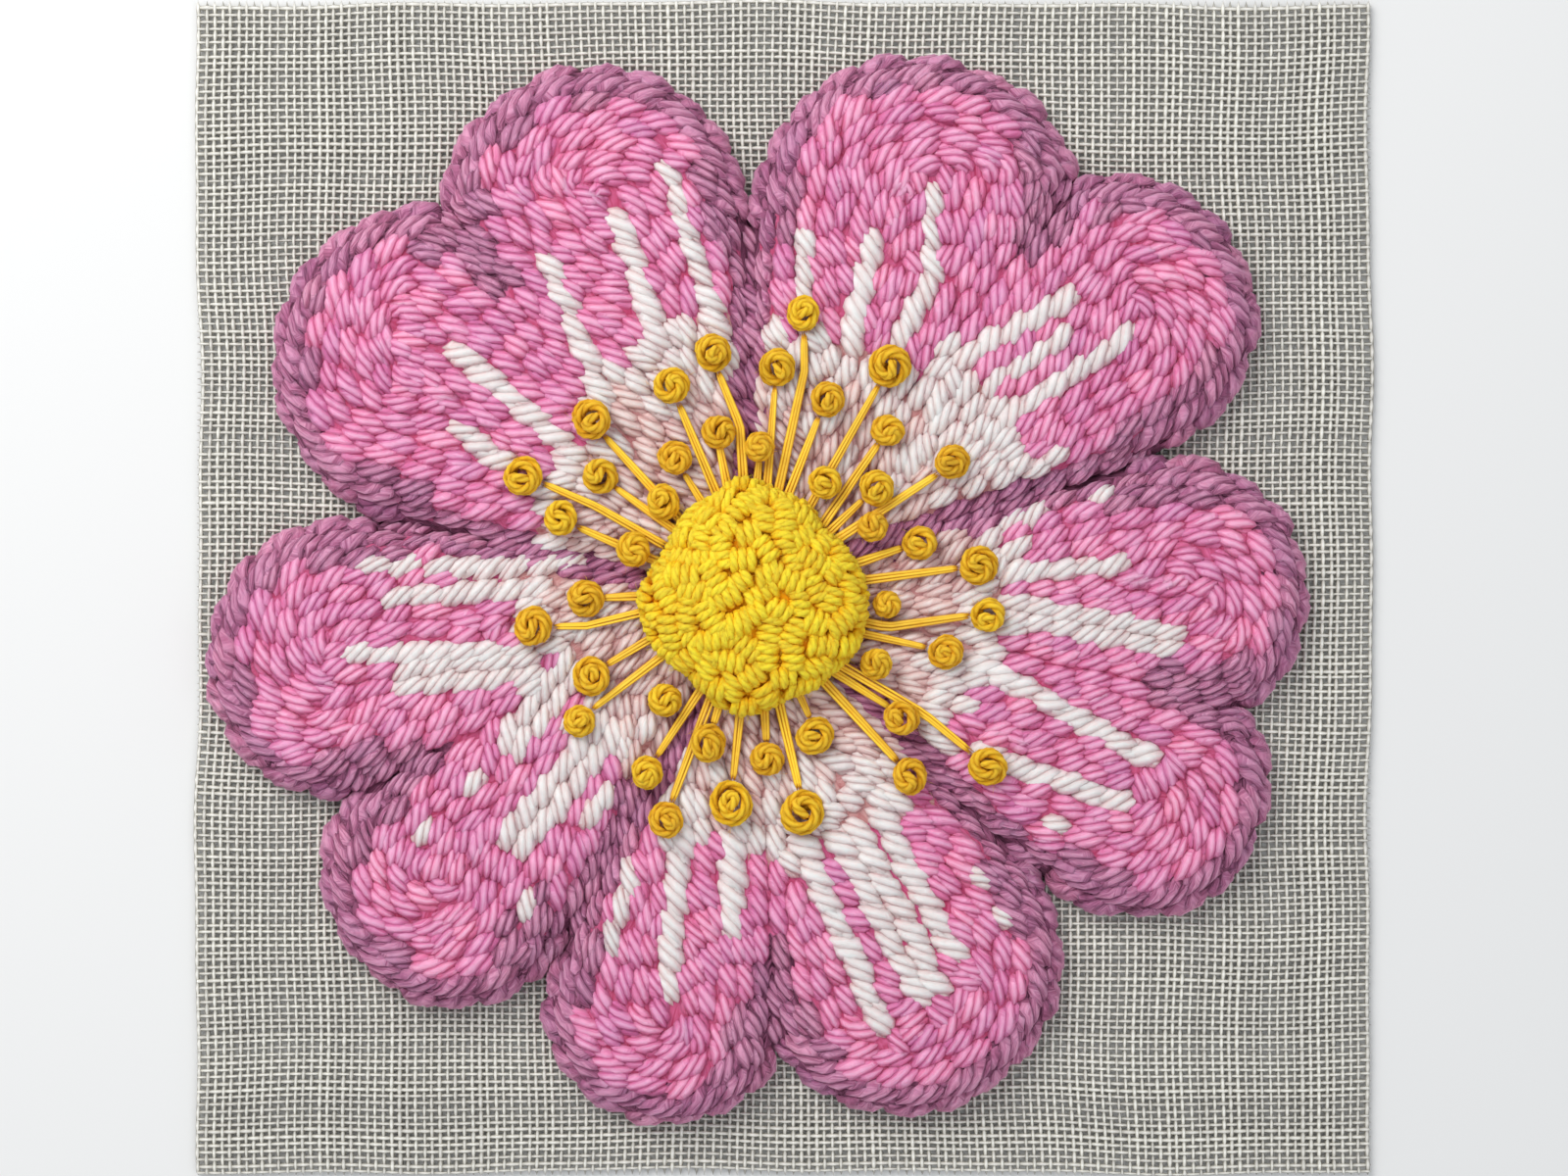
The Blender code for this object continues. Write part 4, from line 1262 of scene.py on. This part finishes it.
def knot_line(knot, seat_height, way, reach_share, level):
    """Line of one knot's yarn, uneven and a little leaning."""
    centre = polar(knot.angle_deg, knot.reach_mm * MM)
    spin = rng.random() * 2 * np.pi + np.minimum(way, 0.9) * KNOT_TURNS * 2 * np.pi
    spin *= rng.choice((-1.0, 1.0))
    wide = (knot.diameter_mm * MM / 2 - 0.95 * KNOT_YARN) * reach_share
    squash = 1.0 + 0.035 * rng.normal()
    lean = rng.normal(0.0, 0.18, 2)
    wide = wide * (1.0 + 0.09 * wander(KNOT_STATIONS, 10))
    flat = np.stack([wide * np.cos(spin) * squash, wide * np.sin(spin) / squash], axis=-1)
    flat += rng.normal(0.0, 0.13 * MM, 2) * level[:, None]
    height = seat_height + level * KNOT_YARN * 1.45 + flat @ lean
    height += np.minimum(level, 1.0) * 0.22 * MM * wander(KNOT_STATIONS, 9)
    return smoothed(with_height(centre + flat, height), 2)


def make_knots(tops):
    """Each knot: three-ply yarn wound round itself, its end laid over the dimple and tucked in."""
    way = np.linspace(0.0, 1.0, KNOT_STATIONS)
    reach_share = np.interp(way, [p.share for p in WINDING], [p.reach for p in WINDING])
    level = np.interp(way, [p.share for p in WINDING], [p.level for p in WINDING])
    lines = np.array([knot_line(knot, knot_seat(knot, tops), way, reach_share, level) for knot in KNOTS])
    count = len(lines)
    middle = lines.mean(axis=1, keepdims=True) - 0.8 * MM * UP
    turn = rng.random((count, 1)) * 2 * np.pi + way * KNOT_TWIST
    radii = np.full((count * KNOT_PLIES, KNOT_STATIONS), KNOT_PLY_RADIUS)
    points, home, station, out, rise = wind(
        lines, unit(lines - middle), KNOT_PLIES, KNOT_PLY_OFFSET, radii, turn, KNOT_SIDES)
    wide = KNOT_PLY_OFFSET + KNOT_PLY_RADIUS
    # Painted shade between the plies, painted light on their upper sides and on the higher windings
    ridge = np.clip((out / wide - 0.66) / 0.32, 0.0, 1.0)
    painted_top_light = np.clip(0.62 + 0.38 * rise / wide + 0.12 * (level[station] - 1.2), 0.0, 1.0)
    along = way[station] * 30 * MM + np.arange(len(points))[:, None] * FIBRE_SHIFT
    painted_shading = (0.30 + 0.70 * ridge) * painted_top_light
    piece = add_yarn("knot_windings", points, home, ply_chance(count, KNOT_PLIES), painted_shading, along,
                     KNOT_SIDES, KNOT_HAIRS, OCHRE, "ochre_wool")
    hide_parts(*[f"knot_{number:02d}" for number in range(1, len(KNOTS) + 1)])


# Staging

CAMERA_HEIGHT = 0.45
PICTURE_WIDTH = 0.184
TABLE_REACH = 1.5
TABLE_DROP = -0.2 * MM
TABLE_COLOUR = (0.80, 0.80, 0.79, 1.0)
SKY_COLOUR = (0.92, 0.95, 1.0, 1.0)
SKY_STRENGTH = 0.55


def area_light(name, place, size, power, colour):
    """Round soft light aimed at the middle of the work."""
    light = bpy.data.lights.new(name, "AREA")
    light.shape = "DISK"
    light.size = size
    light.energy = power
    light.color = colour
    lamp = add_object(name, light, place)
    lamp.rotation_euler = (-Vector(place)).to_track_quat("-Z", "Y").to_euler()


def make_stage():
    """Camera straight above, pale table, and soft light from the upper left."""
    camera = bpy.data.cameras.new("camera")
    camera.sensor_width = 36.0
    camera.lens = camera.sensor_width * (CAMERA_HEIGHT - CLOTH_FACE) / PICTURE_WIDTH
    camera.clip_start = 0.01
    bpy.context.scene.camera = add_object("camera", camera, CAMERA_HEIGHT * UP)

    material = bpy.data.materials.new("pale_table")
    material.use_nodes = True
    shader = material.node_tree.nodes["Principled BSDF"]
    fill(material.node_tree, shader, {"Base Color": TABLE_COLOUR, "Roughness": 0.8})
    mesh = bpy.data.meshes.new("table")
    corners = [(x * TABLE_REACH, y * TABLE_REACH, 0) for x, y in ((-1, -1), (1, -1), (1, 1), (-1, 1))]
    mesh.from_pydata(corners, [], [(0, 1, 2, 3)])
    mesh.materials.append(material)
    table = add_object("table", mesh, TABLE_DROP * UP)

    world = bpy.data.worlds.new("studio")
    world.use_nodes = True
    sky = world.node_tree.nodes["Background"]
    fill(world.node_tree, sky, {"Color": SKY_COLOUR, "Strength": SKY_STRENGTH})
    bpy.context.scene.world = world
    bpy.context.scene.view_settings.view_transform = "Standard"
    area_light("window", (-0.22, 0.26, 0.36), 0.36, 1.8, (1.0, 0.99, 0.97))
    area_light("fill", (0.30, -0.25, 0.60), 0.60, 0.8, (0.96, 0.98, 1.0))


make_stage()
make_linen()
make_beds()
make_stitches()
make_centre()
make_knots(make_filaments())
